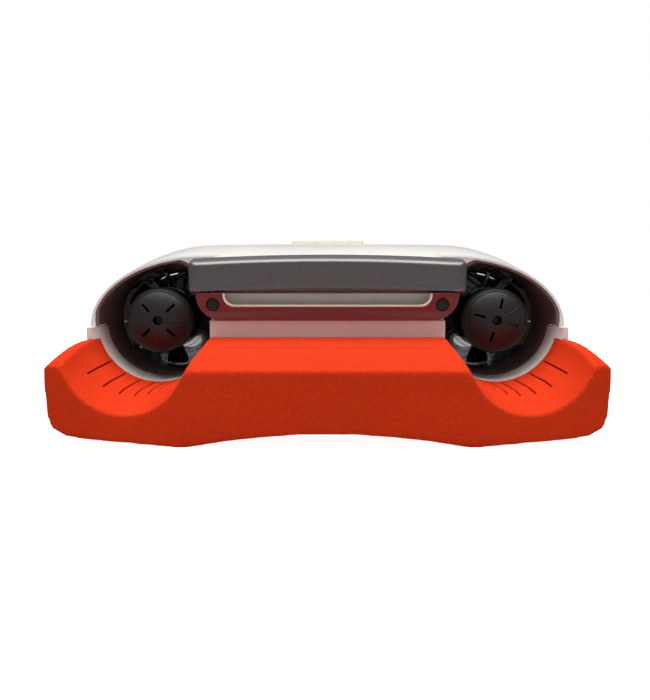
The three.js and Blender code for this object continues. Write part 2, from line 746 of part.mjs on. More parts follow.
function topFrame(t) {
  const tilt = new THREE.Matrix4().makeRotationX(slopeAt(t));
  return shift(0, yAt(t), coverZ(0, t)).multiply(tilt);
}

function displayPocket(grow, depth) {
  return moved(prism(roundedRectangle(26 + grow, 12 + grow, 5), -depth, 20), topFrame(DISPLAY_T));
}

function buttonBore(radius, depth) {
  return moved(moved(bar(radius, -depth, 20, ROUND), standUp), topFrame(BUTTON_T));
}

function addControls() {
  const lens = prism(roundedRectangle(26, 12, 5), -2.4, -0.6);
  addNode('display_lens', moved(lens, topFrame(DISPLAY_T)), 'glass');
  const board = join(
    prism(roundedRectangle(24, 10, 3), -4.2, -2.8),
    box(-20, 20, -6, 6, -5, -4),
  );
  addNode('display_board', moved(board, topFrame(DISPLAY_T)), 'board');
  const button = join(bar(BUTTON_RADIUS, -2.2, 1.2, ROUND), bar(STEM_RADIUS, -7.5, -2, SMALL));
  addNode('power_button', moved(moved(button, standUp), topFrame(BUTTON_T)), 'rubber');
}

// ---------------------------------------------------------------- covers and float
function mouthSpace(side) {
  // the open space over the trough, up to the upper cover's rear edge
  const [x0, x1] = [side * (MIDDLE_HALF + 0.5), side * WIDTH].sort((a, b) => a - b);
  return box(x0, x1, -LENGTH, yAt(MOUTH_T), 0, 220);
}

const linerOuter = (side, extra = 0) =>
  linerVoid(side, LINER_WALL + extra).intersect(upperBody(2.4 - extra * 0.5, MOUTH_T - 10, 0));

function addUpperCover() {
  const shell = upperBody(0, COVER_T, PARTING_Z + GAP / 2);
  const room = upperBody(WALL, MOUTH_T + BULKHEAD, 0);
  const floors = join(latchFloor(), displayPocket(WALL, 8), buttonBore(BUTTON_RADIUS + WALL, 10));
  const kept = join(
    bothSides((side) => handOpening(side, WALL)),
    screwBosses(),
    floors.intersect(shell),
  );
  const hollow = room.subtract(kept);
  const rearBlock = uprightPlate(
    frameOutline(FRAME_HALF - 2, MIDDLE_TOP_Z + GAP, FRAME_TOP_Z, FRAME_CORNER),
    MIDDLE_T,
    MOUTH_T + BULKHEAD,
  );
  const flared = shell.subtract(bothSides(mouthSpace));
  const cuts = [
    bothSides((side) => linerOuter(side, GAP)),
    bothSides((side) => ductOuter(side, GAP).intersect(upperBody(WALL, MOUTH_T, 0))),
    bothSides((side) => intakeWindow(side, 0)),
    bothSides((side) => handOpening(side)),
    lowerMiddle(GAP),
    trayOuter(GAP),
    rearCuts(),
    latchSlot(),
    displayPocket(GAP, 5.4),
    moved(box(-10, 10, -8, 8, -12, 0), topFrame(DISPLAY_T)),
    buttonBore(BUTTON_RADIUS + GAP, 4),
    buttonBore(STEM_RADIUS + GAP, 30),
    gripHoles(GRIP_CORE_RADIUS + GAP),
    screwHoles(),
    bothSides((side) => lipVoid(side, 0.2).subtract(linerOuter(side))).intersect(below(PARTING_Z + 1)),
  ];
  const solid = cuts.reduce((left, cut) => left.subtract(cut), flared.subtract(hollow).add(rearBlock));
  addNode('upper_cover', largest(solid), 'white');
}

// Everything below a height.
const below = (z) => box(-LENGTH, LENGTH, -LENGTH, LENGTH, -LENGTH, z);
const behind = (t) => box(-LENGTH, LENGTH, -LENGTH, yAt(t), -LENGTH, LENGTH);

// The place of the lower cover's middle block, up to the bulkhead.
function lowerMiddle(grow) {
  const x = MIDDLE_HALF + grow;
  return box(-x, x, -LENGTH, yAt(MOUTH_T + BULKHEAD + 1), 0, MIDDLE_TOP_Z + grow);
}

// Cutting can leave crumbs; a cover is its largest piece.
function largest(solid) {
  return solid.decompose().reduce((best, piece) => (piece.volume() > best.volume() ? piece : best));
}

function lowerOuter(grow = 0) {
  const middle = box(
    -MIDDLE_HALF - grow,
    MIDDLE_HALF + grow,
    yAt(MIDDLE_T) - grow,
    yAt(MOUTH_T + BULKHEAD),
    TUB_Z - grow,
    MIDDLE_TOP_Z,
  );
  const jackets = bothSides((side) => tunnelJacket(side, grow)).intersect(planSlab(0, grow));
  return join(tub(0, MOUTH_T - grow, grow), flange(grow), middle, jackets.subtract(behind(MOUTH_T - grow)));
}

// The lower cover's wall round a liner and a duct.
const JACKET_WALL = 2;

function tunnelJacket(side, grow) {
  const room = LINER_WALL + GAP + JACKET_WALL + grow;
  return linerVoid(side, room).add(ductOuter(side, GAP + JACKET_WALL + grow));
}

function addLowerCover() {
  const room = tub(WALL, MOUTH_T + BULKHEAD, 0, 120);
  const solidParts = join(
    bothSides((side) => tunnelJacket(side, 0)).intersect(planSlab(0)),
    bothSides((side) => handOpening(side, WALL)),
    screwBosses().intersect(below(PARTING_Z - GAP)),
  );
  const cuts = [
    bothSides((side) => trough(side, MOUTH_T + 0.2)),
    bothSides((side) => lipVoid(side)),
    bothSides((side) => linerVoid(side, LINER_WALL + GAP, LIP_DEPTH)),
    bothSides((side) => ductOuter(side, GAP)),
    bothSides((side) => handOpening(side)),
    gripHoles(GRIP_CORE_RADIUS + GAP),
    screwHoles(),
  ];
  const shell = lowerOuter().subtract(room.subtract(solidParts));
  addNode('lower_cover', largest(cuts.reduce((left, cut) => left.subtract(cut), shell)), 'white');
}

function floatOutline(t) {
  const w = Math.max(floatHalf(t), 2);
  const close = noseClose(t, 300);
  const climb = Math.sin((Math.PI / 2) * clamp01(t / FLOAT_RAMP));
  const top = FLOAT_TAIL_Z + (FLOAT_TOP_Z - FLOAT_TAIL_Z) * climb;
  const arch = FLOAT_ARCH * (1 + 0.6 * Math.sin(Math.PI * clamp01(t / 360)));
  const low = (z) => top - (top - z) * close;
  const crown = FLOAT_CROWN * climb;
  const right = [
    [0.1 * w, low(arch)],
    [0.24 * w, low(arch * 0.76)],
    [0.35 * w, low(arch * 0.5)],
    [FOOT_FROM * w, low(0)],
    [FOOT_TO * w, low(0)],
    [0.69 * w, low(1.9)],
    [0.86 * w, low(4)],
    [0.935 * w, low(6.5)],
    [0.978 * w, low(11.5)],
    [0.994 * w, low(21)],
    [w, low(44)],
    [w * 0.998, top - 1.2],
    [w * 0.985, top],
    [w * 0.47, top + crown],
  ];
  const left = right.toReversed().map(([x, z]) => [-x, z]);
  return [[0, low(arch)], ...right, [0, top + crown], ...left];
}

function addFloat() {
  const places = [0, 12, 30, 50, 72, 95, ...sectionPlaces(120, LENGTH)];
  const block = loft(places.map((t) => ({ y: yAt(t), outline: floatOutline(t) })));
  const swept = bothSides((side) => {
    const plan = [[92, 0], [240, 15.5], [240, -30], [92, -30]].map(([x, t]) => [side * x, yAt(t)]);
    return prism(plan, -10, 200);
  });
  const cuts = [
    lowerOuter(GAP),
    bothSides((side) => trough(side, MOUTH_T)),
    bothSides(troughRim),
    bothSides((side) => handOpening(side, -0.5)),
    swept,
    gripHoles(GRIP_CORE_RADIUS + GAP),
  ];
  addNode('float_pad', largest(cuts.reduce((left, cut) => left.subtract(cut), block)), 'foam');
}

// ---------------------------------------------------------------- thrusters
const intakeWindow = (side, grow) => moved(scoop(grow, 10, 120), tunnelFrame(side));

function addGrille(side) {
  const skin = upperBody(0.2, MOUTH_T).subtract(upperBody(3.2, MOUTH_T - 5, 0));
  const rim = intakeWindow(side, -GAP).subtract(intakeWindow(side, -RIM_WIDTH));
  const bars = [];
  for (let i = -SLATS_EACH_SIDE; i <= SLATS_EACH_SIDE; i++) {
    const slat = new THREE.BoxGeometry(SLAT_WIDTH, 140, 140);
    slat.rotateZ(side * rad(SLAT_TURN_DEG));
    slat.translate(i * SLAT_STEP, (SCOOP_FROM_S + SCOOP_TO_S) / 2, 60);
    bars.push(moved(toSolid(slat), tunnelFrame(side)).intersect(intakeWindow(side, -1)));
  }
  const grille = skin.intersect(join(rim, ...bars));
  addNode(`intake_grille_${sideName(side)}`, largest(grille), 'glossBlack');
}

function addLiner(side) {
  const space = linerVoid(side, 0).intersect(upperBody(4.4, MOUTH_T - 10, 0));
  const slice = (s0, s1) => moved(box(-100, 100, s0, s1, -100, 100), tunnelFrame(side));
  const x = MIDDLE_HALF + 3;
  const cuts = [
    space,
    behind(MOUTH_T + 1),
    box(-x, x, -LENGTH, yAt(MOUTH_T + BULKHEAD + 1), 0, LENGTH),
    slice(DUCT_S - DUCT_WALL - 2 * GAP, 2 * DUCT_S),
    slice(-40, LIP_DEPTH + 0.8).intersect(below(PARTING_Z + 1)), // the lower cover's lip is here
  ];
  const liner = cuts.reduce((left, cut) => left.subtract(cut), linerOuter(side));
  addNode(`tunnel_liner_${sideName(side)}`, largest(liner), 'darkPlastic');
}

function vane(angle) {
  const plate = new THREE.BoxGeometry(2.4, 26, DUCT_RADIUS - 8);
  plate.rotateZ(rad(8));
  plate.translate(0, DUCT_S + 52, (DUCT_RADIUS + 10) / 2);
  plate.rotateY(angle);
  return toSolid(plate);
}

function addDuct(side) {
  const inside = ductShape(0).add(bar(DUCT_RADIUS, DUCT_S - 5, DUCT_S + 5, FINE));
  const boss = turned([[0, 107], [22, 107], [24, 110], [22, 124], [15, 136], [6, 144], [0, 146]], ROUND);
  const tube = bar(TUBE_RADIUS, 26, 108, ROUND);
  const vanes = [];
  for (let i = 0; i < VANES; i++) {
    const plate = vane(side * rad(19 + (360 * i) / VANES));
    vanes.push(plate.subtract(bar(TUBE_RADIUS - 1, 0, 200)));
  }
  const bore = bar(BEARING_RADIUS + GAP, 20, 109, ROUND).add(bar(SHAFT_RADIUS + 0.5, 100, 112, ROUND));
  const shell = ductShape(DUCT_WALL).subtract(inside);
  const whole = moved(join(shell, boss, tube, ...vanes).subtract(bore), tunnelFrame(side));
  const hull = upperBody(WALL + GAP, MOUTH_T - 20, 0).intersect(tub(WALL + GAP, MOUTH_T - 20, 0, 300));
  addNode(`duct_${sideName(side)}`, largest(whole.intersect(hull)), 'glossBlack');
}

// A blade's section: a thin curved plate, thicker in the middle, turned to its pitch.
function bladeSection(chord, thickness, pitch) {
  const around = [[-0.5, 0], [-0.2, -0.35], [0.2, -0.35], [0.5, 0], [0.2, 0.65], [-0.2, 0.65]];
  return around.map(([along, up]) => {
    const u = along * chord;
    const v = up * thickness;
    return [u * Math.cos(pitch) - v * Math.sin(pitch), u * Math.sin(pitch) + v * Math.cos(pitch)];
  });
}

function blade(side, angle) {
  const tip = DUCT_RADIUS - BLADE_TIP_GAP;
  const root = HUB_RADIUS - 1.5;
  const stations = [];
  for (let i = 0; i <= 4; i++) {
    const share = i / 4;
    const pitch = side * rad(52 - 22 * share);
    const outline = bladeSection(22 + 12 * share - 10 * share ** 4, 3.2 - 1.6 * share, pitch);
    stations.push({ y: root + (tip - root) * share, outline });
  }
  const turn = new THREE.Matrix4().makeRotationX(Math.PI / 2);
  const around = new THREE.Matrix4().makeRotationY(angle);
  return moved(loft(stations), around.multiply(shift(0, BLADE_S, 0)).multiply(turn));
}

function addPropeller(side, group, startAngle) {
  const bore = HUB_RADIUS - HUB_WALL;
  const hub = turned(
    [
      [0, 16],
      [bore, 16],
      [bore, DOME_END_S + GAP],
      [HUB_RADIUS, DOME_END_S + GAP],
      [HUB_RADIUS, HUB_END_S],
      [bore, HUB_END_S],
      [bore, 19],
      [0, 19],
    ],
    FINE,
  );
  const inside = bar(bore, 18, 120, FINE);
  const blades = [];
  for (let i = 0; i < BLADES; i++) {
    blades.push(blade(side, startAngle + (2 * Math.PI * i) / BLADES).subtract(inside));
  }
  const swept = ringBar(60, DUCT_RADIUS - BLADE_TIP_GAP, 0, 200, FINE);
  const shaftHole = bar(SHAFT_RADIUS + GAP, 0, 40, SMALL);
  const propeller = join(hub, ...blades).subtract(shaftHole).subtract(swept);
  addNode(`propeller_${sideName(side)}`, propeller, 'glossBlack', group);
}

function slot(angle, from, to, width) {
  const cut = new THREE.BoxGeometry(width, 30, to - from);
  cut.translate(0, 0, (from + to) / 2);
  cut.rotateY(angle);
  return toSolid(cut);
}

function addHubCap(side, group, startAngle) {
  const depth = DOME_RIM_S - DOME_APEX_S;
  const inRadius = HUB_RADIUS - DOME_WALL;
  const outer = [];
  const inner = [];
  for (let i = 0; i <= 4; i++) {
    const angle = rad((90 * i) / 4);
    const lean = Math.sin(angle);
    outer.push([HUB_RADIUS * lean, DOME_RIM_S - depth * Math.cos(angle)]);
    inner.push([inRadius * lean, DOME_RIM_S + DOME_WALL - depth * Math.cos(angle)]);
  }
  const rim = [[HUB_RADIUS, DOME_END_S], [inRadius, DOME_END_S]];
  const profile = [...outer, ...rim, ...inner.toReversed()];
  const post = bar(6, DOME_APEX_S + 1.2, 15.7, ROUND);
  const seat = bar(3.9, -20, 2, SMALL).add(bar(2.3, -20, 30, SMALL));
  const slots = [];
  for (let i = 0; i < 4; i++) {
    slots.push(slot(startAngle + rad(45 + 90 * i), 8.8, 17.5, 1.6));
  }
  const dome = turned(profile, ROUND + 4);
  const cap = [seat, ...slots].reduce((left, cut) => left.subtract(cut), dome.add(post));
  addNode(`hub_cap_${sideName(side)}`, cap, 'mattBlack', group);
  const screw = join(bar(3.6, -1, 1.7, SMALL), bar(2, 1, 13, SMALL));
  addNode(`hub_screw_${sideName(side)}`, screw.subtract(bar(1.8, -4, 0.4, 6)), 'steel', group);
}

function addMotor(side, group) {
  const outside = HUB_RADIUS - HUB_WALL - 2 * GAP;
  const bore = outside - ROTOR_WALL;
  const bell = turned([[0, 19.4], [outside, 19.4], [outside, 72], [bore, 72], [bore, 24], [0, 24]]);
  const bellBore = bar(SHAFT_RADIUS + GAP, 0, 40, SMALL);
  addNode(`rotor_bell_${sideName(side)}`, bell.subtract(bellBore), 'steel', group);
  const coreRadius = TUBE_RADIUS + 2.5;
  const core = ringBar(coreRadius, TUBE_RADIUS + GAP, 28, 64);
  const root = coreRadius - 1.1;
  const tip = bore - 2 * GAP;
  const teeth = [];
  for (let i = 0; i < TEETH; i++) {
    const tooth = new THREE.BoxGeometry(4, 34, tip - root);
    tooth.translate(0, 46, (tip + root) / 2);
    tooth.rotateY((2 * Math.PI * i) / TEETH);
    teeth.push(toSolid(tooth));
  }
  addNode(`stator_${sideName(side)}`, join(core, ...teeth), 'copper', group);
  addNode(`motor_shaft_${sideName(side)}`, bar(SHAFT_RADIUS, 16.3, 109, SMALL), 'steel', group);
  const bearing = (y, length) => ringBar(BEARING_RADIUS, SHAFT_RADIUS + GAP, y, y + length);
  addNode(`bearing_rear_${sideName(side)}`, bearing(32, 5), 'steel', group);
  addNode(`bearing_front_${sideName(side)}`, bearing(100, 5), 'steel', group);
  addNode(`shaft_seal_${sideName(side)}`, bearing(27, 4.5), 'rubber', group);
}

function addThruster(side) {
  const group = new THREE.Group();
  group.applyMatrix4(tunnelFrame(side));
  scooter.add(group);
  addPropeller(side, group, rad(BLADE_REST_DEG));
  addHubCap(side, group, side < 0 ? 0 : rad(RIGHT_CAP_REST_DEG));
  addMotor(side, group);
  addDuct(side);
  addLiner(side);
  addGrille(side);
}

// ---------------------------------------------------------------- hand grips
const TRIGGER_X = -26;
const TRIGGER_PIVOT_Y = GRIP_OPENING / 2 - 9;
const TRIGGER_HALF_HEIGHT = 8;
const PIN_RADIUS = 1.5;

function addGrip(side) {
  const group = new THREE.Group();
  group.applyMatrix4(gripFrame(side).multiply(shift(0, 0, GRIP_Z)));
  scooter.add(group);
  const name = sideName(side);
  const reach = GRIP_OPENING / 2;
  addNode(`grip_core_${name}`, bar(GRIP_CORE_RADIUS, -reach - 14, reach + 14, ROUND), 'steel', group);
  const profile = [[GRIP_CORE_RADIUS + GAP, -reach + 2]];
  for (let i = 0; i <= 8; i++) {
    const y = -reach + 2 + ((2 * reach - 4) * i) / 8;
    const swell = Math.sin((Math.PI * i) / 8) ** 0.5;
    profile.push([12.8 + (GRIP_RADIUS - 12.8) * swell, y]);
  }
  profile.push([GRIP_CORE_RADIUS + GAP, reach - 2], [GRIP_CORE_RADIUS + GAP, -reach + 2]);
  addNode(`grip_sleeve_${name}`, turned(profile, ROUND), 'rubber', group);
  addTrigger(side, group, name);
}

function addTrigger(side, group, name) {
  const x = side * TRIGGER_X;
  const y = TRIGGER_PIVOT_Y;
  const h = TRIGGER_HALF_HEIGHT;
  const upright = (radius, z0, z1) => uprightBar(radius, x, y, z0, z1);
  const reach = TRIGGER_LENGTH / 2;
  const lever = roundedRectangle(2.6, reach, 2.5).map(([dx, dy]) => [x + dx, y - reach + dy]);
  const pinHole = upright(PIN_RADIUS + GAP, -2 * reach, 2 * reach);
  const blade = join(prism(lever, -h, h), upright(4.5, -h, h)).subtract(pinHole);
  addNode(`trigger_${name}`, blade, 'mattBlack', group);
  addNode(`trigger_pin_${name}`, upright(PIN_RADIUS, -h - 3, h + 3), 'steel', group);
  const wallY = GRIP_OPENING / 2 - GAP;
  const ears = box(x - 5, x + 5, y - 5, wallY, -h - 3.4, h + 3.4);
  const gapBetween = box(x - 9, x + 9, y - 9, wallY - 3, -h - GAP, h + GAP);
  addNode(`trigger_housing_${name}`, ears.subtract(gapBetween).subtract(pinHole), 'mattBlack', group);
}

// ---------------------------------------------------------------- electronics in the hull
function addController() {
  const y0 = yAt(150);
  const y1 = yAt(235);
  const shell = box(-55, 55, y0, y1, TUB_Z + WALL + GAP, 62);
  const room = box(-52, 52, y0 + 3, y1 - 3, TUB_Z + WALL + 4, 70);
  addNode('controller_case', shell.subtract(room), 'gunmetal');
  const board = box(-48, 48, y0 + 8, y1 - 8, 38, 39.6);
  const parts = [-36, -18, 0, 18, 36].map((x) => box(x - 6, x + 6, y0 + 16, y0 + 34, 39, 46));
  const heads = [-30, 0, 30].map((x) => moved(moved(bar(6, 39, 56, SMALL), standUp), shift(x, y0 + 60, 0)));
  addNode('controller_board', join(board, ...parts, ...heads), 'board');
}

addFloat();
addLowerCover();
addUpperCover();
sides.forEach(addThruster);
addBattery();
addTray();
addRearFrame();
addLatch();
addControls();
sides.forEach(addGrip);
addController();
addCoverScrews();

export default scooter;
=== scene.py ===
"""Looks of a twin-thruster underwater scooter on its foam float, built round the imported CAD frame.

Shapes are worked out in millimetres and turned into metres when a piece is finished. "t" is a
distance forward from the tail and "s" a distance forward from a tunnel mouth.
"""
import math

import bmesh
import bpy
import numpy as np
from bpy.props import FloatProperty, FloatVectorProperty, IntProperty, PointerProperty
from mathutils import Matrix, Vector


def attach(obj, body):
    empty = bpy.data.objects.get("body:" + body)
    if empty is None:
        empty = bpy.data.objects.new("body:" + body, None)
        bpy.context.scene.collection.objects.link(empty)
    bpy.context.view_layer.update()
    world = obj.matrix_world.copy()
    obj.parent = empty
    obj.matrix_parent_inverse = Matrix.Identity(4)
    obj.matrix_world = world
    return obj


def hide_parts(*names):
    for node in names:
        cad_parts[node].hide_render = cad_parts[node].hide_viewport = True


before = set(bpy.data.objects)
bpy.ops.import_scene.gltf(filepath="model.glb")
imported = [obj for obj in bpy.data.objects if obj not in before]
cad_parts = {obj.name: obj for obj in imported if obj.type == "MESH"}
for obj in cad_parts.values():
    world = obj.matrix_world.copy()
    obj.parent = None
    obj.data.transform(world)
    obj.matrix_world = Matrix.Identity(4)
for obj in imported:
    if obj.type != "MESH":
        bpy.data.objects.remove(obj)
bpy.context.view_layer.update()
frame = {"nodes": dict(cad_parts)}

bl_info = {
    "name": "Underwater scooter looks",
    "version": (1, 0, 0),
    "blender": (4, 5, 0),
    "location": "View3D > Sidebar > Scooter",
    "description": "Builds the detailed pieces of an underwater scooter round its CAD frame",
    "category": "Object",
}

MM = 0.001

# ------------------------------------------------------------------ driving sizes, millimetres
LENGTH = 505.0
WIDTH = 396.0
GAP = 0.3
WALL = 3.0
PARTING_Z = 76.0
CROWN_HEIGHT = 72.5
CROWN_T = 250.0
CROWN_BULGE = 2.5
REAR_DROP = 16.2
DECK_HEIGHT = 30.0
DECK_T = 440.0
SHOULDER_SHARE = 0.45
NOSE_ROUND_T = 380.0
WIDE_T = 200.0
FLOAT_TOP_Z = 66.0
FLOAT_TAIL_Z = 52.0
FLOAT_RAMP = 95.0
FLOAT_CROWN = 3.5
FLOAT_ARCH = 8.6
FOOT_FROM = 0.49
FOOT_TO = 0.55
TUB_Z = 26.0
TUB_INSET = 15.0
FLANGE_INSET = 1.5
MIDDLE_HALF = 92.5
MIDDLE_T = 85.0
MIDDLE_TOP_Z = 82.0
COVER_T = 96.5
BULKHEAD = 6.0
MOUTH_T = 113.0
MOUTH_X = 139.0
MOUTH_Z = 81.0
MOUTH_RADIUS = 50.5
TOE = math.radians(2.86)
LIP_DEPTH = 25.0
DUCT_S = 73.0
DUCT_RADIUS = 45.3
DUCT_WALL = 2.5
DUCT_LENGTH = 77.0
LINER_WALL = 2.0
SEAM_S = 23.0
SEAM_LEAN = math.radians(38)
JACKET_WALL = 2.0
SCOOP_HALF = 33.0
SCOOP_FROM_S = DUCT_S + 50.0
SCOOP_TO_S = DUCT_S + 124.0
VANE_S = DUCT_S + 39.0
VANE_CHORD = 26.0
VANE_FIRST = math.radians(19)
SLAT_SPAN = 98.0
SLAT_HALF = 1.1
SLAT_TURN = math.radians(35)
HUB_RADIUS = 27.2
HUB_BORE = HUB_RADIUS - 2.6
HUB_END_S = 104.0
DOME_APEX_S = -6.4
DOME_RIM_S = 7.0
DOME_END_S = 10.0
DOME_WALL = 2.4
DOME_LINE_RADIUS = 23.7
HUB_SCREW_RADIUS = 3.9
HUB_SCREW_BORE_RADIUS = 2.3
POST_RADIUS = 6.0
BLADE_REST = math.radians(60)
CAP_REST = math.radians(60)
BLADE_TIP_GAP = 1.0
BLADE_S = 90.0
SHAFT_RADIUS = 3.0
TUBE_RADIUS = 10.0
BEARING_BORE_RADIUS = 7.8
CAP_HALF = 109.2
CAP_T = 80.0
CAP_BOTTOM_Z = 106.3
CAP_TOP_Z = 130.0
CAP_FLARE_Z = 134.0
PACK_HALF = 88.0
PACK_LENGTH = 126.0
PACK_Z = 107.0
PACK_HEIGHT = 20.5
PACK_T = CAP_T + 16.2
TRAY_WALL = 2.0
FRAME_HALF = 102.5
FRAME_THICKNESS = 4.5
FRAME_CORNER = 22.0
FRAME_T = MIDDLE_T - FRAME_THICKNESS - GAP
FRAME_TOP_Z = CAP_BOTTOM_Z - 2.6 - GAP
CUP_HALF = 81.7
CUP_HEIGHT = 10.5
CUP_DEPTH = 15.0
CUP_WALL = 1.6
CUP_CORNER = 9.0
CUP_BOTTOM_Z = FRAME_TOP_Z - CUP_HEIGHT
PLUG_X = 89.3
PLUG_Z = 94.7
PLUG_RADIUS = 5.0
PLUG_BORE_RADIUS = 2.3
GRIP_T = 381.0
GRIP_X = 150.0
GRIP_TURN = math.radians(22.4)
GRIP_OPENING = 104.0
GRIP_REACH = 54.0
GRIP_CORE_RADIUS = 10.0
GRIP_RADIUS = 15.5
GRIP_Z = 62.0
TRIGGER_LENGTH = 50.0
TRIGGER_X = -26.0
TRIGGER_PIVOT_Y = GRIP_OPENING / 2 - 9
TRIGGER_HALF_HEIGHT = 8.0
PIN_RADIUS = 1.5
PIVOT_RADIUS = 4.5
LATCH_WIDTH = 72.0
LATCH_LENGTH = 14.0
LATCH_TRAVEL = 6.0
LATCH_RISE = 4.5
LATCH_STEM_HALF = (9.0, 5.0)
LATCH_T = CROWN_T
DISPLAY_T = 400.0
BUTTON_T = 436.0
BUTTON_RADIUS = 7.0
STEM_RADIUS = 3.0
LENS_HALF = (26.0, 12.0)
LENS_CORNER = 5.0
SCREW_PLACES = ((-58.0, 452.0), (58.0, 452.0))
SCREW_RADIUS = 2.0
SCREW_HEAD_RADIUS = 4.0
SCREW_HEAD = 3.0
SIDES = (-1, 1)
FINE = 96
ROUND = 48
EDGE_ANGLE = math.radians(32)

CAMERA_PLACE = (0.0, -0.7125, 0.106)
CAMERA_DIP = math.atan(60 / 694)
CAMERA_LENS = 35.7
CAMERA_SHIFT_X = -0.0036


def side_name(side):
    return "left" if side < 0 else "right"


def y_at(t):
    return t - LENGTH / 2


def clamp01(value):
    return min(max(value, 0.0), 1.0)


# ------------------------------------------------------------------ solids
def solid(vertices, faces):
    """A closed mesh object whose faces point outwards."""
    points = np.array(vertices, float)
    volume = 0.0
    for face in faces:
        for b, c in zip(face[1:-1], face[2:]):
            volume += np.dot(points[face[0]], np.cross(points[b], points[c]))
    if volume < 0:
        faces = [tuple(reversed(face)) for face in faces]
    mesh = bpy.data.meshes.new("shape")
    mesh.from_pydata([tuple(p) for p in points], [], faces)
    shape = bpy.data.objects.new("shape", mesh)
    bpy.context.scene.collection.objects.link(shape)
    return shape


def remove(shape):
    mesh = shape.data
    bpy.data.objects.remove(shape)
    if mesh.users == 0:
        bpy.data.meshes.remove(mesh)


def settle(shape):
    """Turns a shape and its modifiers into a plain mesh."""
    depsgraph = bpy.context.evaluated_depsgraph_get()
    mesh = bpy.data.meshes.new_from_object(shape.evaluated_get(depsgraph))
    shape.modifiers.clear()
    old = shape.data
    shape.data = mesh
    bpy.data.meshes.remove(old)
    return shape


def combine(shape, tools, operation):
    for tool in tools:
        modifier = shape.modifiers.new("combine", "BOOLEAN")
        modifier.solver = "MANIFOLD"
        modifier.operation = operation
        modifier.object = tool
    settle(shape)
    for tool in tools:
        remove(tool)
    return shape


def cut(shape, *tools):
    return combine(shape, tools, "DIFFERENCE")


def join(shape, *tools):
    return combine(shape, tools, "UNION")


def common(shape, *tools):
    return combine(shape, tools, "INTERSECT")


def moved(shape, matrix):
    shape.data.transform(matrix)
    if matrix.determinant() < 0:
        shape.data.flip_normals()
    return shape


def shift(x, y, z):
    return Matrix.Translation((x, y, z))


STAND_UP = Matrix.Rotation(math.pi / 2, 4, "X")


def box(x0, x1, y0, y1, z0, z1):
    vertices = [(x, y, z) for x in (x0, x1) for y in (y0, y1) for z in (z0, z1)]
    faces = [(0, 1, 3, 2), (4, 6, 7, 5), (0, 4, 5, 1), (2, 3, 7, 6), (0, 2, 6, 4), (1, 5, 7, 3)]
    return solid(vertices, faces)


def behind(y):
    """Everything behind a place."""
    return box(-LENGTH, LENGTH, -LENGTH, y, -LENGTH, LENGTH)


def below(z):
    return box(-LENGTH, LENGTH, -LENGTH, LENGTH, -LENGTH, z)


def turned(profile, sides=FINE):
    """A solid turned round the Y axis from [radius, y] points, open from axis to axis or a ring."""
    ring_shaped = profile[0] == profile[-1]
    profile = profile[:-1] if ring_shaped else profile
    vertices, rings = [], []
    for radius, y in profile:
        if radius < 1e-6:
            rings.append([len(vertices)] * sides)
            vertices.append((0, y, 0))
            continue
        rings.append([len(vertices) + i for i in range(sides)])
        for i in range(sides):
            angle = 2 * math.pi * i / sides
            vertices.append((radius * math.cos(angle), y, radius * math.sin(angle)))
    pairs = list(zip(rings, rings[1:]))
    if ring_shaped:
        pairs.append((rings[-1], rings[0]))
    faces = []
    for near, far in pairs:
        for i in range(sides):
            j = (i + 1) % sides
            corners = [near[i], near[j], far[j], far[i]]
            face = tuple(dict.fromkeys(corners))
            if len(face) > 2:
                faces.append(face)
    return solid(vertices, faces)


def ring(inner, outer, y0, y1):
    corners = [(inner, y0), (outer, y0), (outer, y1), (inner, y1)]
    return turned([*corners, corners[0]])


def bar(radius, y0, y1, sides=ROUND, end_radius=None):
    end_radius = radius if end_radius is None else end_radius
    return turned([(0, y0), (radius, y0), (end_radius, y1), (0, y1)], sides)


def upright_bar(radius, x, y, z0, z1):
    return moved(bar(radius, z0, z1), shift(x, y, 0) @ STAND_UP)


def prism(points, z0, z1):
    """A flat outline in plan, raised from z0 to z1."""
    count = len(points)
    vertices = [(x, y, z) for z in (z0, z1) for x, y in points]
    faces = [tuple(range(count)), tuple(reversed(range(count, 2 * count)))]
    for i in range(count):
        j = (i + 1) % count
        faces.append((j, i, i + count, j + count))
    return solid(vertices, faces)


def arc(x, z, radius, start, sweep, steps):
    """Points round a centre, with the angles in degrees."""
    angles = [math.radians(start + sweep * i / steps) for i in range(steps + 1)]
    return [(x + radius * math.cos(a), z + radius * math.sin(a)) for a in angles]


def mirrored(points):
    return [(-x, z) for x, z in reversed(points)]


def rounded_rectangle(half_x, half_y, radius):
    points = []
    for sx, sy, start in ((1, -1, -90), (1, 1, 0), (-1, 1, 90), (-1, -1, 180)):
        points += arc(sx * (half_x - radius), sy * (half_y - radius), radius, start, 90, 10)
    return points


def loft(stations):
    """A closed solid through a row of (y, outline) sections, each outline of (x, z) points."""
    count = len(stations[0][1])
    vertices = [(x, y, z) for y, outline in stations for x, z in outline]
    faces = []
    for k in range(len(stations) - 1):
        for i in range(count):
            a = k * count + i
            b = k * count + (i + 1) % count
            faces.append((a, a + count, b + count, b))
    last = (len(stations) - 1) * count
    for y, outline, first in (stations[0] + (0,), stations[-1] + (last,)):
        middle = len(vertices)
        xs, zs = zip(*outline)
        vertices.append((sum(xs) / count, y, sum(zs) / count))
        for i in range(count):
            a, b = first + i, first + (i + 1) % count
            faces.append((middle, a, b) if first == 0 else (middle, b, a))
    return solid(vertices, faces)


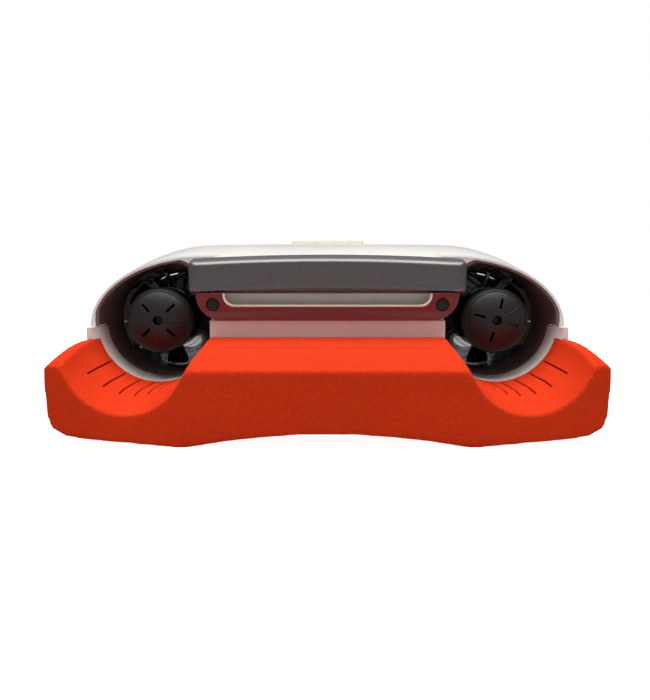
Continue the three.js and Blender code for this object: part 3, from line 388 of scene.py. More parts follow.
def largest(shape):
    """Keeps the biggest connected piece of a shape."""
    mesh = bmesh.new()
    mesh.from_mesh(shape.data)
    unseen, groups = set(mesh.verts), []
    while unseen:
        group, queue = [], [unseen.pop()]
        while queue:
            vertex = queue.pop()
            group.append(vertex)
            for edge in vertex.link_edges:
                other = edge.other_vert(vertex)
                if other in unseen:
                    unseen.discard(other)
                    queue.append(other)
        groups.append(group)
    groups.sort(key=len)
    for group in groups[:-1]:
        bmesh.ops.delete(mesh, geom=group, context="VERTS")
    mesh.to_mesh(shape.data)
    mesh.free()
    return shape


def rounded(shape, width, segments=2):
    """Rounds the sharp edges of a shape."""
    mesh = bmesh.new()
    mesh.from_mesh(shape.data)
    bmesh.ops.remove_doubles(mesh, verts=mesh.verts, dist=0.02)
    bmesh.ops.dissolve_degenerate(mesh, edges=mesh.edges, dist=0.01)
    mesh.to_mesh(shape.data)
    mesh.free()
    modifier = shape.modifiers.new("edges", "BEVEL")
    modifier.width = width
    modifier.segments = segments
    modifier.limit_method = "ANGLE"
    modifier.angle_limit = EDGE_ANGLE
    modifier.miter_outer = "MITER_ARC"
    modifier.use_clamp_overlap = True
    return settle(shape)


# ------------------------------------------------------------------ hull curves
def hull_half(t):
    if t < WIDE_T:
        return WIDTH / 2 - 3 * ((WIDE_T - t) / 95) ** 2
    return WIDTH / 2 * math.sqrt(1 - clamp01((t - WIDE_T) / (LENGTH - WIDE_T)) ** 3)


def float_half(t):
    if t < WIDE_T:
        return WIDTH / 2 - 4.5 * ((WIDE_T - t) / WIDE_T) ** 2
    return hull_half(t)


def nose_close(t, start):
    return math.sqrt(1 - clamp01((t - start) / (LENGTH - start)) ** 2.5)


def crown_height(t):
    if t < CROWN_T:
        return CROWN_HEIGHT - REAR_DROP * ((CROWN_T - t) / 135) ** 2
    fall = math.cos(math.pi / 2 * clamp01((t - CROWN_T) / (DECK_T - CROWN_T))) ** 2
    return (DECK_HEIGHT + (CROWN_HEIGHT - DECK_HEIGHT) * fall) * nose_close(t, NOSE_ROUND_T)


def cover_z(x, t):
    """Outer height of the upper shell over a place in plan."""
    across = abs(x) / hull_half(t)
    over_shoulder = clamp01((across - (1 - SHOULDER_SHARE)) / SHOULDER_SHARE)
    bulge = CROWN_BULGE * crown_height(t) / CROWN_HEIGHT
    height = crown_height(t) * math.sqrt(1 - over_shoulder**2)
    return PARTING_Z + height + bulge * (1 - across**2)


def section_places(start, end, count=72):
    places = [start]
    for i in range(count):
        t = FLOAT_RAMP + (LENGTH - FLOAT_RAMP) * math.sin(math.pi / 2 * i / count)
        if start + 0.5 < t < end - 0.02:
            places.append(t)
    return places + [end]


def cover_outline(t, inset, base):
    half_width = max(hull_half(t) - inset, 0.4)
    height = max(crown_height(t) - inset, 0.4)
    bulge = CROWN_BULGE * crown_height(t) / CROWN_HEIGHT
    shoulder = SHOULDER_SHARE * half_width
    right = []
    for i in range(25):
        angle = math.pi / 2 * i / 24
        x = half_width - shoulder + shoulder * math.cos(angle)
        right.append((x, height * math.sin(angle)))
    for i in range(1, 10):
        right.append(((half_width - shoulder) * (1 - i / 10), height))
    right = [(x, PARTING_Z + z + bulge * (1 - (x / half_width) ** 2)) for x, z in right]
    top = (0, PARTING_Z + height + bulge)
    return [(half_width, base), *right, top, *mirrored(right), (-half_width, base)]


def upper_body(inset, start, base=PARTING_Z - 1):
    places = section_places(start, LENGTH - inset - 0.05)
    return loft([(y_at(t), cover_outline(t + inset, inset, base)) for t in places])


def tub_outline(t, inset, grow, top):
    half_width = max(hull_half(t) - TUB_INSET - inset + grow, 1)
    depth = (FLOAT_TOP_Z - TUB_Z) * nose_close(t, 300)
    bottom = FLOAT_TOP_Z - depth + inset - grow
    corner = min(14, half_width / 2, depth / 2)
    right = arc(half_width - corner, bottom + corner, corner, -90, 90, 12)
    right.append((half_width, top))
    return right + mirrored(right)


def tub(inset, start, grow=0.0, top=PARTING_Z - 0.3):
    places = section_places(start, LENGTH - TUB_INSET - 2 - inset + grow, 48)
    return loft([(y_at(t), tub_outline(t + inset, inset, grow, top)) for t in places])


def plan_slab(z0, grow=0.0):
    """A slab with the hull's outline in plan, from z0 up to the parting line."""
    stations = []
    for t in section_places(FLOAT_RAMP - grow, LENGTH - 1):
        x = max(hull_half(t) - FLANGE_INSET + grow, 0.5)
        z1 = PARTING_Z - GAP / 2
        stations.append((y_at(t), [(x, z0), (x, z1), (-x, z1), (-x, z0)]))
    return loft(stations)


def flange(grow=0.0):
    return plan_slab(FLOAT_TOP_Z + GAP - grow, grow)


# ------------------------------------------------------------------ tunnels
def tunnel_frame(side):
    turn = Matrix.Rotation(-side * TOE, 4, "Z")
    return shift(side * MOUTH_X, y_at(MOUTH_T), MOUTH_Z) @ turn


def tunnel_radius(s):
    return MOUTH_RADIUS + (DUCT_RADIUS - MOUTH_RADIUS) * s / DUCT_S


def tunnel_cone(side, grow, s0, s1):
    cone = bar(tunnel_radius(s0) + grow, s0, s1, FINE, tunnel_radius(s1) + grow)
    return moved(cone, tunnel_frame(side))


def lip_void(side, grow=0.0):
    return tunnel_cone(side, grow, -6, LIP_DEPTH + 0.5)


def liner_void(side, grow=0.0, start=-8.0):
    return tunnel_cone(side, grow, start, DUCT_S + 0.5)


def scoop(grow, z0, z1):
    middle = (SCOOP_FROM_S + SCOOP_TO_S) / 2
    half_length = (SCOOP_TO_S - SCOOP_FROM_S) / 2 + grow
    outline = rounded_rectangle(SCOOP_HALF + grow, half_length, 12)
    return prism([(x, y + middle) for x, y in outline], z0, z1)


def duct_shape(grow):
    """A tube closed by a ball, with a scoop up to the intake."""
    radius = DUCT_RADIUS + grow
    end = DUCT_S + DUCT_LENGTH
    profile = [(0, DUCT_S - grow), (radius, DUCT_S - grow)]
    for i in range(17):
        angle = math.pi / 2 * i / 16
        profile.append((radius * math.cos(angle), end + radius * math.sin(angle)))
    profile[-1] = (0, end + radius)
    return join(turned(profile), scoop(grow, 0, 100))


def duct_outer(side, extra=0.0):
    return moved(duct_shape(DUCT_WALL + extra), tunnel_frame(side))


def intake_window(side, grow):
    return moved(scoop(grow, 10, 120), tunnel_frame(side))


def trough_section(t):
    """Middle and radius of the trough behind a mouth: x, z, radius."""
    places = (-2, 6, 25, 60, MOUTH_T)
    drop = np.interp(t, places, (16, 14.7, 8.4, 1.4, 0))
    narrower = np.interp(t, places, (6.1, 5.5, 3.7, 1.2, 0))
    return MOUTH_X, MOUTH_Z - float(drop), MOUTH_RADIUS - float(narrower)


def trough_rim(side):
    """Wedges that lean the trough's rim outwards at the tail: [sideways, height] points."""
    outer = ((21, 50), (36, 39), (42.5, 45.5), (49, 49.3), (71, 53.5), (71, 90), (21, 90))
    inner = ((-21, 90), (-59, 90), (-59, 52.6), (-46, 50.4), (-41, 46), (-36, 40), (-21, 50))
    for points in (outer, inner):
        yield loft([
            (y_at(t), [(side * (MOUTH_X + out), z + rise) for out, z in points])
            for t, rise in ((-2, 0), (24, 15))
        ])


def trough(side, end):
    stations = []
    for t in list(np.linspace(-2, MOUTH_T - 0.5, 40)) + [end]:
        x, z, radius = trough_section(t)
        outline = arc(side * x, z, radius, -180, 180, 48)
        outline += [(side * x + radius, 150), (side * x - radius, 150)]
        stations.append((y_at(t), outline))
    return cut(loft(stations), box(-MIDDLE_HALF, MIDDLE_HALF, -LENGTH, LENGTH, 0, 200))


# ------------------------------------------------------------------ openings shared by the shells
def grip_frame(side):
    turn = Matrix.Rotation(side * GRIP_TURN, 4, "Z")
    return shift(side * GRIP_X, y_at(GRIP_T), 0) @ turn


def hand_opening(side, grow=0.0):
    half_length = GRIP_OPENING / 2 + grow
    inner = -GRIP_REACH - grow
    outer = 90
    middle = (outer + inner) / 2
    outline = rounded_rectangle((outer - inner) / 2, half_length, 14)
    shape = prism([(side * (x + middle), y) for x, y in outline], -20, 220)
    return moved(shape, grip_frame(side))


def grip_hole(side, radius):
    reach = GRIP_OPENING / 2 + 16
    return moved(bar(radius, -reach, reach), grip_frame(side) @ shift(0, 0, GRIP_Z))


def hand_tools(side, grow=0.0):
    """Room for a hand and for the core of its grip."""
    return [hand_opening(side, grow), grip_hole(side, GRIP_CORE_RADIUS + GAP)]


def screw_top(x, t):
    return min(cover_z(x, t - 5), cover_z(x, t + 5)) - 1


def screw_holes():
    tools = []
    for x, t in SCREW_PLACES:
        floor = screw_top(x, t) - SCREW_HEAD - GAP
        tools.append(upright_bar(SCREW_RADIUS + GAP, x, y_at(t), 40, 160))
        tools.append(upright_bar(SCREW_HEAD_RADIUS + GAP, x, y_at(t), floor, 160))
    return tools


def screw_bosses():
    radius = SCREW_HEAD_RADIUS + WALL
    return [upright_bar(radius, x, y_at(t), 30, 160) for x, t in SCREW_PLACES]


def frame_outline(half_width, bottom, top, corner):
    corner = min(corner, top - bottom - 0.5)
    down = [(half_width, top), *arc(half_width - corner, bottom + corner, corner, 0, -90, 16)]
    right = list(reversed(down))
    return right + mirrored(right)


def upright_plate(outline, t0, t1):
    return loft([(y_at(t), outline) for t in (t0, t1)])


def cup_shape(grow, top, t0, t1, corner=CUP_CORNER):
    """The finger recess's outer shape between two places, grown or shrunk."""
    return upright_plate(frame_outline(CUP_HALF + grow, CUP_BOTTOM_Z - grow, top, corner), t0, t1)


def at_screw(side, shape):
    """Moves a shape to one of the two screws of the red frame."""
    return moved(shape, shift(side * PLUG_X, y_at(FRAME_T), PLUG_Z))


def latch_top():
    return cover_z(0, LATCH_T)


def top_frame(t):
    """A frame on the crown's middle line whose Z stands square to the shell."""
    slope = math.atan2(cover_z(0, t + 12) - cover_z(0, t - 12), 24)
    return shift(0, y_at(t), cover_z(0, t)) @ Matrix.Rotation(slope, 4, "X")


def display_pocket(grow, depth):
    x, y = LENS_HALF
    outline = rounded_rectangle(x + grow, y + grow, LENS_CORNER)
    return moved(prism(outline, -depth, 20), top_frame(DISPLAY_T))


def button_bore(radius, depth):
    return moved(bar(radius, -depth, 20), top_frame(BUTTON_T) @ STAND_UP)


def tunnel_jacket(side, grow):
    room = LINER_WALL + GAP + JACKET_WALL + grow
    return join(liner_void(side, room), duct_outer(side, GAP + JACKET_WALL + grow))


def jackets(grow=0.0):
    """The lower shell's walls round the liners and ducts."""
    both = join(tunnel_jacket(-1, grow), tunnel_jacket(1, grow))
    return common(both, plan_slab(0, grow))


def lower_outer(grow=0.0):
    middle = box(
        -MIDDLE_HALF - grow,
        MIDDLE_HALF + grow,
        y_at(MIDDLE_T) - grow,
        y_at(MOUTH_T + BULKHEAD),
        TUB_Z - grow,
        MIDDLE_TOP_Z,
    )
    walls = cut(jackets(grow), behind(y_at(MOUTH_T) - grow))
    return join(tub(0, MOUTH_T - grow, grow), flange(grow), middle, walls)


def liner_outer(side, extra=0.0):
    skin = upper_body(2.4 - extra * 0.5, MOUTH_T - 10, 0)
    return common(liner_void(side, LINER_WALL + extra), skin)


# ------------------------------------------------------------------ repeats in Geometry Nodes
REPEAT_SOCKETS = (
    ("Count", "NodeSocketInt", 4),
    ("Start", "NodeSocketVector", (0, 0, 0)),
    ("Step", "NodeSocketVector", (0, 0, 0)),
    ("First Turn", "NodeSocketVector", (0, 0, 0)),
    ("Turn", "NodeSocketVector", (0, 0, 0)),
    ("Material", "NodeSocketMaterial", None),
)


def repeat_tree():
    """A node tree that repeats its geometry along a line, turning each copy further round."""
    tree = bpy.data.node_groups.get("repeat_piece")
    if tree:
        return tree
    tree = bpy.data.node_groups.new("repeat_piece", "GeometryNodeTree")
    tree.interface.new_socket("Geometry", in_out="INPUT", socket_type="NodeSocketGeometry")
    for label, kind, default in REPEAT_SOCKETS:
        socket = tree.interface.new_socket(label, in_out="INPUT", socket_type=kind)
        if default is not None:
            socket.default_value = default
    tree.interface.new_socket("Geometry", in_out="OUTPUT", socket_type="NodeSocketGeometry")
    nodes, link = tree.nodes, tree.links.new
    given = nodes.new("NodeGroupInput")
    places = nodes.new("GeometryNodeMeshLine")
    link(given.outputs["Count"], places.inputs["Count"])
    link(given.outputs["Start"], places.inputs["Start Location"])
    link(given.outputs["Step"], places.inputs["Offset"])
    index = nodes.new("GeometryNodeInputIndex")
    turn = nodes.new("ShaderNodeVectorMath")
    turn.operation = "MULTIPLY_ADD"
    link(given.outputs["Turn"], turn.inputs[0])
    link(index.outputs["Index"], turn.inputs[1])
    link(given.outputs["First Turn"], turn.inputs[2])
    copies = nodes.new("GeometryNodeInstanceOnPoints")
    link(places.outputs["Mesh"], copies.inputs["Points"])
    link(given.outputs["Geometry"], copies.inputs["Instance"])
    link(turn.outputs["Vector"], copies.inputs["Rotation"])
    real = nodes.new("GeometryNodeRealizeInstances")
    link(copies.outputs["Instances"], real.inputs["Geometry"])
    finish = nodes.new("GeometryNodeSetMaterial")
    link(real.outputs["Geometry"], finish.inputs["Geometry"])
    link(given.outputs["Material"], finish.inputs["Material"])
    out = nodes.new("NodeGroupOutput")
    link(finish.outputs["Geometry"], out.inputs["Geometry"])
    return tree


def repeated(shape, count, **values):
    """count copies of a shape. Values are start, step, first_turn and turn, as vectors."""
    tree = repeat_tree()
    modifier = shape.modifiers.new("repeat", "NODES")
    modifier.node_group = tree
    named = {key.replace("_", " ").title(): value for key, value in values.items()}
    named["Count"] = count
    for item in tree.interface.items_tree:
        if item.in_out == "INPUT" and item.name in named:
            modifier[item.identifier] = named[item.name]
    return settle(shape)


# ------------------------------------------------------------------ finishes
def srgb(*values):
    """A colour given as 0-255 display values, as linear light."""
    parts = [v / 255 for v in values]
    return tuple(p / 12.92 if p <= 0.04045 else ((p + 0.055) / 1.055) ** 2.4 for p in parts)


FINISH = "_finish"  # tells these materials from the CAD's own


class Finish:
    """A material in the making: constants on the shader, patterns linked into it."""

    def __init__(self, name, colour, **constants):
        self.material = bpy.data.materials.new(name + FINISH)
        self.material.use_nodes = True
        self.tree = self.material.node_tree
        self.shader = self.tree.nodes["Principled BSDF"]
        self.shader.inputs["Base Color"].default_value = (*colour, 1)
        for key, value in constants.items():
            self.shader.inputs[key.replace("_", " ").title()].default_value = value
        self.place = self.node("ShaderNodeTexCoord").outputs["Object"]
        self.material.diffuse_color = (*colour, 1)

    def node(self, kind, inputs=None, **settings):
        made = self.tree.nodes.new(kind)
        for key, value in settings.items():
            setattr(made, key, value)
        for key, value in (inputs or {}).items():
            made.inputs[key].default_value = value
        return made

    def link(self, source, target):
        self.tree.links.new(source, target)

    def stretched(self, scale):
        """The object's own coordinates, stretched, for grain that runs one way."""
        mapping = self.node("ShaderNodeMapping", {"Scale": scale})
        self.link(self.place, mapping.inputs["Vector"])
        return mapping.outputs["Vector"]

    def noise(self, scale, detail=3.0, roughness=0.5, place=None, distortion=0.0):
        inputs = {"Scale": scale, "Detail": detail, "Roughness": roughness, "Distortion": distortion}
        made = self.node("ShaderNodeTexNoise", inputs)
        self.link(place or self.place, made.inputs["Vector"])
        return made.outputs["Fac"]

    def cells(self, scale, feature="F1", output="Distance"):
        made = self.node("ShaderNodeTexVoronoi", {"Scale": scale}, feature=feature)
        self.link(self.place, made.inputs["Vector"])
        return made.outputs[output]

    def spread(self, source, low, high, out_low=0.0, out_high=1.0):
        inputs = {"From Min": low, "From Max": high, "To Min": out_low, "To Max": out_high}
        made = self.node("ShaderNodeMapRange", inputs)
        self.link(source, made.inputs["Value"])
        return made.outputs["Result"]

    def sum(self, first, second, share):
        made = self.node("ShaderNodeMath", {1: share}, operation="MULTIPLY_ADD")
        self.link(second, made.inputs[0])
        self.link(first, made.inputs[2])
        return made.outputs[0]

    def blend(self, share, first, second):
        """Two colours, either of which may be a constant, mixed by a pattern."""
        made = self.node("ShaderNodeMix", data_type="RGBA")
        self.link(share, made.inputs["Factor"])
        for source, target in ((first, made.inputs[6]), (second, made.inputs[7])):
            if isinstance(source, bpy.types.NodeSocket):
                self.link(source, target)
            else:
                target.default_value = (*source, 1)
        return made.outputs[2]

    def bump(self, height, distance, strength, before=None):
        made = self.node("ShaderNodeBump", {"Strength": strength, "Distance": distance})
        self.link(height, made.inputs["Height"])
        if before:
            self.link(before, made.inputs["Normal"])
        return made.outputs["Normal"]

    def soft_edges(self, radius):
        return self.node("ShaderNodeBevel", {"Radius": radius}, samples=4).outputs["Normal"]

    def set(self, **sources):
        for key, source in sources.items():
            self.link(source, self.shader.inputs[key.replace("_", " ").title()])
        return self.material


def scaled(colour, factor):
    return tuple(min(c * factor, 1.0) for c in colour)


def foam_finish(look):
    """Closed-cell foam: fine grain, scattered pores and faint patches."""
    f = Finish("foam", look.foam, roughness=0.92, sheen_weight=0.04, sheen_roughness=0.5)
    f.shader.inputs["Sheen Tint"].default_value = (*look.foam, 1)
    f.shader.inputs["Specular IOR Level"].default_value = 0.12
    grain = f.noise(1000, 4, 0.62)
    fine = f.noise(2200, 2, 0.5)
    pores = f.cells(700)
    patches = f.noise(14, 3, 0.5)
    speckle = f.spread(grain, 0.36, 0.66)
    colour = f.blend(speckle, scaled(look.foam, 0.84), scaled(look.foam, 1.1))
    colour = f.blend(f.spread(patches, 0.35, 0.7, 0, 0.35), colour, scaled(look.foam, 0.84))
    height = f.sum(f.sum(grain, pores, 0.45), fine, 0.4)
    normal = f.bump(height, 0.0007, 0.8, f.soft_edges(0.0012))
    f.set(base_color=colour, normal=normal, roughness=f.spread(grain, 0.3, 0.7, 0.86, 1.0))


def gloss_white_finish(look):
    """Glossy moulded plastic with faint orange peel and handling haze."""
    f = Finish("cover_white", look.cover, roughness=0.24, coat_weight=0.35, coat_roughness=0.08)
    haze = f.noise(9, 4, 0.55)
    peel = f.noise(240, 2, 0.5)
    scuffs = f.noise(60, 5, 0.7, f.stretched((1, 9, 3)))
    colour = f.blend(f.spread(haze, 0.4, 0.75), look.cover, scaled(look.cover, 0.94))
    rough = f.sum(f.spread(haze, 0.35, 0.7, 0.18, 0.3), f.spread(scuffs, 0.62, 0.72), 0.12)
    normal = f.bump(peel, 0.0002, 0.12, f.soft_edges(0.0007))
    f.set(base_color=colour, roughness=rough, normal=normal)


def grained_finish(name, colour, rough, grain_scale, depth, wear=1.3, contrast=0.12, **constants):
    """Moulded plastic with a spark-eroded grain that shines a little where it is worn."""
    f = Finish(name, colour, roughness=rough, **constants)
    grain = f.noise(grain_scale, 3, 0.6)
    cells = f.cells(grain_scale * 0.8)
    patches = f.noise(22, 4, 0.6)
    low, high = scaled(colour, 1 - contrast), scaled(colour, 1 + contrast)
    tone = f.blend(f.spread(grain, 0.35, 0.65), low, high)
    tone = f.blend(f.spread(patches, 0.5, 0.8, 0, 0.6), tone, scaled(colour, wear))
    shine = f.spread(patches, 0.35, 0.75, rough * 1.06, rough * 0.8)
    normal = f.bump(f.sum(grain, cells, 0.5), depth, 0.7, f.soft_edges(0.0005))
    f.set(base_color=tone, roughness=shine, normal=normal)


def gloss_black_finish(look):
    """Polished black plastic with water marks."""
    f = Finish("duct_black", look.duct, roughness=0.1, coat_weight=0.5, coat_roughness=0.05)
    marks = f.noise(45, 5, 0.65, distortion=0.6)
    ripple = f.noise(120, 2, 0.5)
    colour = f.blend(f.spread(marks, 0.55, 0.75), look.duct, scaled(look.duct, 1.7))
    normal = f.bump(ripple, 0.0003, 0.12)
    f.set(base_color=colour, roughness=f.spread(marks, 0.4, 0.75, 0.06, 0.24), normal=normal)


def metal_paint_finish(look):
    """Grey metallic paint: flakes under a satin clear coat, a little darker in soft clouds."""
    f = Finish("gunmetal", look.cap, metallic=0.75, roughness=0.36, coat_weight=0.25, coat_roughness=0.2)
    flakes = f.cells(2600, output="Color")
    tone = f.node("ShaderNodeSeparateColor")
    f.link(flakes, tone.inputs["Color"])
    flake = tone.outputs["Red"]
    clouds = f.noise(18, 3, 0.5)
    colour = f.blend(flake, scaled(look.cap, 0.82), scaled(look.cap, 1.2))
    colour = f.blend(f.spread(clouds, 0.4, 0.8, 0, 0.4), colour, scaled(look.cap, 0.8))
    rough = f.sum(f.spread(clouds, 0.3, 0.7, 0.3, 0.4), flake, 0.08)
    normal = f.bump(flake, 0.00005, 0.15, f.soft_edges(0.0006))
    f.set(base_color=colour, roughness=rough, normal=normal)


def brushed_finish(name, colour, rough=0.28, along=(4, 1, 4)):
    """Brushed or turned metal with fine lines and faint stains."""
    f = Finish(name, colour, metallic=1.0, roughness=rough)
    lines = f.noise(900, 3, 0.7, f.stretched(along))
    stains = f.noise(60, 4, 0.6)
    tone = f.blend(f.spread(lines, 0.3, 0.7), scaled(colour, 0.8), scaled(colour, 1.1))
    tone = f.blend(f.spread(stains, 0.5, 0.8, 0, 0.5), tone, scaled(colour, 0.7))
    f.set(
        base_color=tone,
        roughness=f.spread(stains, 0.3, 0.75, rough * 0.8, rough * 1.5),
        normal=f.bump(lines, 0.0001, 0.25),
    )


def winding_finish():
    """Enamelled copper wire wound close together, with painted shade in the grooves between turns."""
    f = Finish("winding_copper", srgb(170, 92, 52), metallic=0.9, roughness=0.32)
    inputs = {"Scale": 420, "Distortion": 0.5}
    wires = f.node("ShaderNodeTexWave", inputs, bands_direction="Y")
    f.link(f.place, wires.inputs["Vector"])
    # dark in the grooves between turns and light on the crests: painted shade and light that follow the
    # bump's bands
    tone = f.blend(wires.outputs["Fac"], srgb(92, 40, 20), srgb(196, 112, 66))
    f.set(base_color=tone, normal=f.bump(wires.outputs["Fac"], 0.0004, 0.8))


def board_finish():
    """Solder mask with traces and tinned pads."""
    f = Finish("board_green", srgb(20, 80, 58), roughness=0.35)
    traces = f.cells(160, feature="DISTANCE_TO_EDGE")
    pads = f.cells(300)
    colour = f.blend(f.spread(traces, 0.02, 0.05), srgb(52, 120, 84), srgb(14, 62, 44))
    colour = f.blend(f.spread(pads, 0.16, 0.12), colour, srgb(188, 186, 176))
    f.set(base_color=colour, normal=f.bump(traces, 0.0002, 0.4))


def cell_finish():
    """Shrink sleeve over battery cells, slightly wrinkled."""
    f = Finish("cell_blue", srgb(52, 102, 164), roughness=0.38)
    wrinkles = f.noise(150, 3, 0.5, f.stretched((0.3, 1, 1)))
    colour = f.blend(f.spread(wrinkles, 0.35, 0.7), srgb(38, 82, 140), srgb(66, 120, 184))
    f.set(base_color=colour, normal=f.bump(wrinkles, 0.0006, 0.5))


def lens_finish():
    """Smoked glass with faint smudges."""
    f = Finish("lens", srgb(12, 16, 22), roughness=0.04, coat_weight=1.0, coat_roughness=0.02)
    smudges = f.noise(70, 4, 0.6)
    depth = f.blend(f.spread(smudges, 0.45, 0.8), srgb(10, 13, 18), srgb(26, 32, 42))
    f.set(base_color=depth, roughness=f.spread(smudges, 0.4, 0.75, 0.03, 0.16))


def make_finishes(look):
    black, steel, tube, brass = (
        srgb(*c) for c in ((26, 26, 27), (176, 178, 180), (142, 146, 150), (206, 166, 86))
    )
    foam_finish(look)
    gloss_white_finish(look)
    grained_finish("liner_dark", look.liner, 0.5, 700, 0.0005, 1.15)
    gloss_black_finish(look)
    grained_finish("cap_black", look.hub, 0.5, 900, 0.0002, 1.2)
    metal_paint_finish(look)
    grained_finish("frame_red", look.frame, 0.34, 800, 0.0002, 1.2, coat_weight=0.2)
    grained_finish("recess_beige", look.recess, 0.36, 900, 0.00006, 0.97, 0.03)
    grained_finish("rubber_black", black, 0.78, 500, 0.0006, 1.5)
    brushed_finish("steel", steel)
    brushed_finish("grip_tube", tube, 0.34, (3, 0.4, 3))
    winding_finish()
    board_finish()
    cell_finish()
    brushed_finish("contact_brass", brass, 0.3)
    lens_finish()


def finish(name):
    if name + FINISH not in bpy.data.materials:
        make_finishes(bpy.context.scene.scooter_colours)
    return bpy.data.materials[name + FINISH]


# ------------------------------------------------------------------ finishing a piece
def place_piece(shape, name, body, material, replaces, sharp=35):
    """Turns a shape in millimetres into a piece of the object."""
    shape.data.transform(Matrix.Scale(MM, 4))
    shape.name = name
    shape.data.name = name
    shape.data.materials.clear()
    shape.data.materials.append(finish(material))
    shape.data.shade_smooth()
    shape.data.set_sharp_from_angle(angle=math.radians(sharp))
    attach(shape, body)
    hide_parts(*replaces)
    return shape


KEPT = {
    "steel": (
        "rotor_bell_*", "motor_shaft_*", "bearing_rear_*", "bearing_front_*", "frame_screw_*",
        "latch_spring", "trigger_pin_*",
    ),
    "winding_copper": ("stator_*",),
    "rubber_black": ("shaft_seal_*",),
    "liner_dark": ("battery_case", "battery_tray"),
    "contact_brass": ("battery_contact_plate", "contact_block"),
    "cell_blue": ("battery_cells",),
    "board_green": ("protection_board", "display_board", "controller_board"),
    "gunmetal": ("controller_case",),
    "grip_tube": ("grip_core_*",),
    "cap_black": ("trigger_housing_*",),
}


def kept_nodes():
    for material, patterns in KEPT.items():
        for pattern in patterns:
            if not pattern.endswith("*"):
                yield pattern, material
                continue
            for side in SIDES:
                yield pattern[:-1] + side_name(side), material


# ------------------------------------------------------------------ operators
class PieceOperator(bpy.types.Operator):
    """Shared behaviour of the operators that build pieces."""

    bl_options = {"REGISTER", "UNDO"}

    def execute(self, context):
        self.build(context.scene.scooter_sizes)
        return {"FINISHED"}


class SCOOTER_OT_kept(PieceOperator):
    """Give the CAD nodes that stay in view their finishes"""

    bl_idname = "scooter.kept"
    bl_label = "Inner parts"

    def build(self, sizes):
        for node, material in kept_nodes():
            mesh = frame["nodes"][node].data
            mesh.materials.clear()
            mesh.materials.append(finish(material))


class SCOOTER_OT_float(PieceOperator):
    """Build the foam float with its troughs and drain grooves"""

    bl_idname = "scooter.foam_float"
    bl_label = "Foam float"

    def outline(self, t):
        w = max(float_half(t), 2)
        close = nose_close(t, 300)
        climb = math.sin(math.pi / 2 * clamp01(t / FLOAT_RAMP))
        top = FLOAT_TAIL_Z + (FLOAT_TOP_Z - FLOAT_TAIL_Z) * climb
        arch = FLOAT_ARCH * (1 + 0.6 * math.sin(math.pi * clamp01(t / 360)))
        crown = FLOAT_CROWN * climb

        def low(z):
            return top - (top - z) * close

        right = [
            (0.1 * w, low(arch)),
            (0.24 * w, low(arch * 0.76)),
            (0.35 * w, low(arch * 0.5)),
            (FOOT_FROM * w, low(0)),
            (FOOT_TO * w, low(0)),
            (0.69 * w, low(1.9)),
            (0.86 * w, low(4)),
            (0.935 * w, low(6.5)),
            (0.978 * w, low(11.5)),
            (0.994 * w, low(21)),
            (w, low(44)),
            (0.998 * w, top - 1.2),
            (0.985 * w, top),
            (0.47 * w, top + crown),
        ]
        return [(0, low(arch)), *right, (0, top + crown), *mirrored(right)]

    def grooves(self, side, sizes):
        """Thin slits that run back along the trough from near the mouth."""
        tools = []
        count = sizes.groove_count
        for i in range(count):
            share = i / max(count - 1, 1)
            lean = math.radians(49.3 - 93 * share + 28 * share**2) * side
            sections = []
            for t in (44 + 12 * share**6, 106):
                x, z, radius = trough_section(t)
                out = np.array((math.sin(lean), -math.cos(lean)))
                along = np.array((math.cos(lean), math.sin(lean)))
                middle = np.array((side * x, z))
                half = sizes.groove_width / MM / 2
                depth = sizes.groove_depth / MM
                corners = [
                    middle + out * (radius + far * depth) + along * half * way
                    for far, way in ((-1, -1), (-1, 1), (1, 1), (1, -1))
                ]
                sections.append((y_at(t), [tuple(c) for c in corners]))
            tools.append(loft(sections))
        return tools

    def build(self, sizes):
        places = [*np.linspace(0, FLOAT_RAMP, 32), *section_places(FLOAT_RAMP + 5, LENGTH)]
        shape = loft([(y_at(t), self.outline(t)) for t in places])
        tools = [lower_outer(GAP)]
        for side in SIDES:
            tools.append(trough(side, MOUTH_T))
            tools += trough_rim(side)
            tools += hand_tools(side, -0.5)
            plan = [(92, 0), (240, 15.5), (240, -30), (92, -30)]
            tools.append(prism([(side * x, y_at(t)) for x, t in plan], -10, 200))
        shape = largest(cut(shape, *tools))
        voxels = shape.modifiers.new("cells", "REMESH")
        voxels.mode = "VOXEL"
        voxels.voxel_size = 1.6
        soften = shape.modifiers.new("soften", "SMOOTH")
        soften.factor = 0.5
        soften.iterations = 2
        fewer = shape.modifiers.new("fewer", "DECIMATE")
        fewer.ratio = 0.28
        settle(shape)
        for side in SIDES:
            shape = cut(shape, *self.grooves(side, sizes))
        piece = place_piece(largest(shape), "foam_float", "hull", "foam", ["float_pad"], 50)


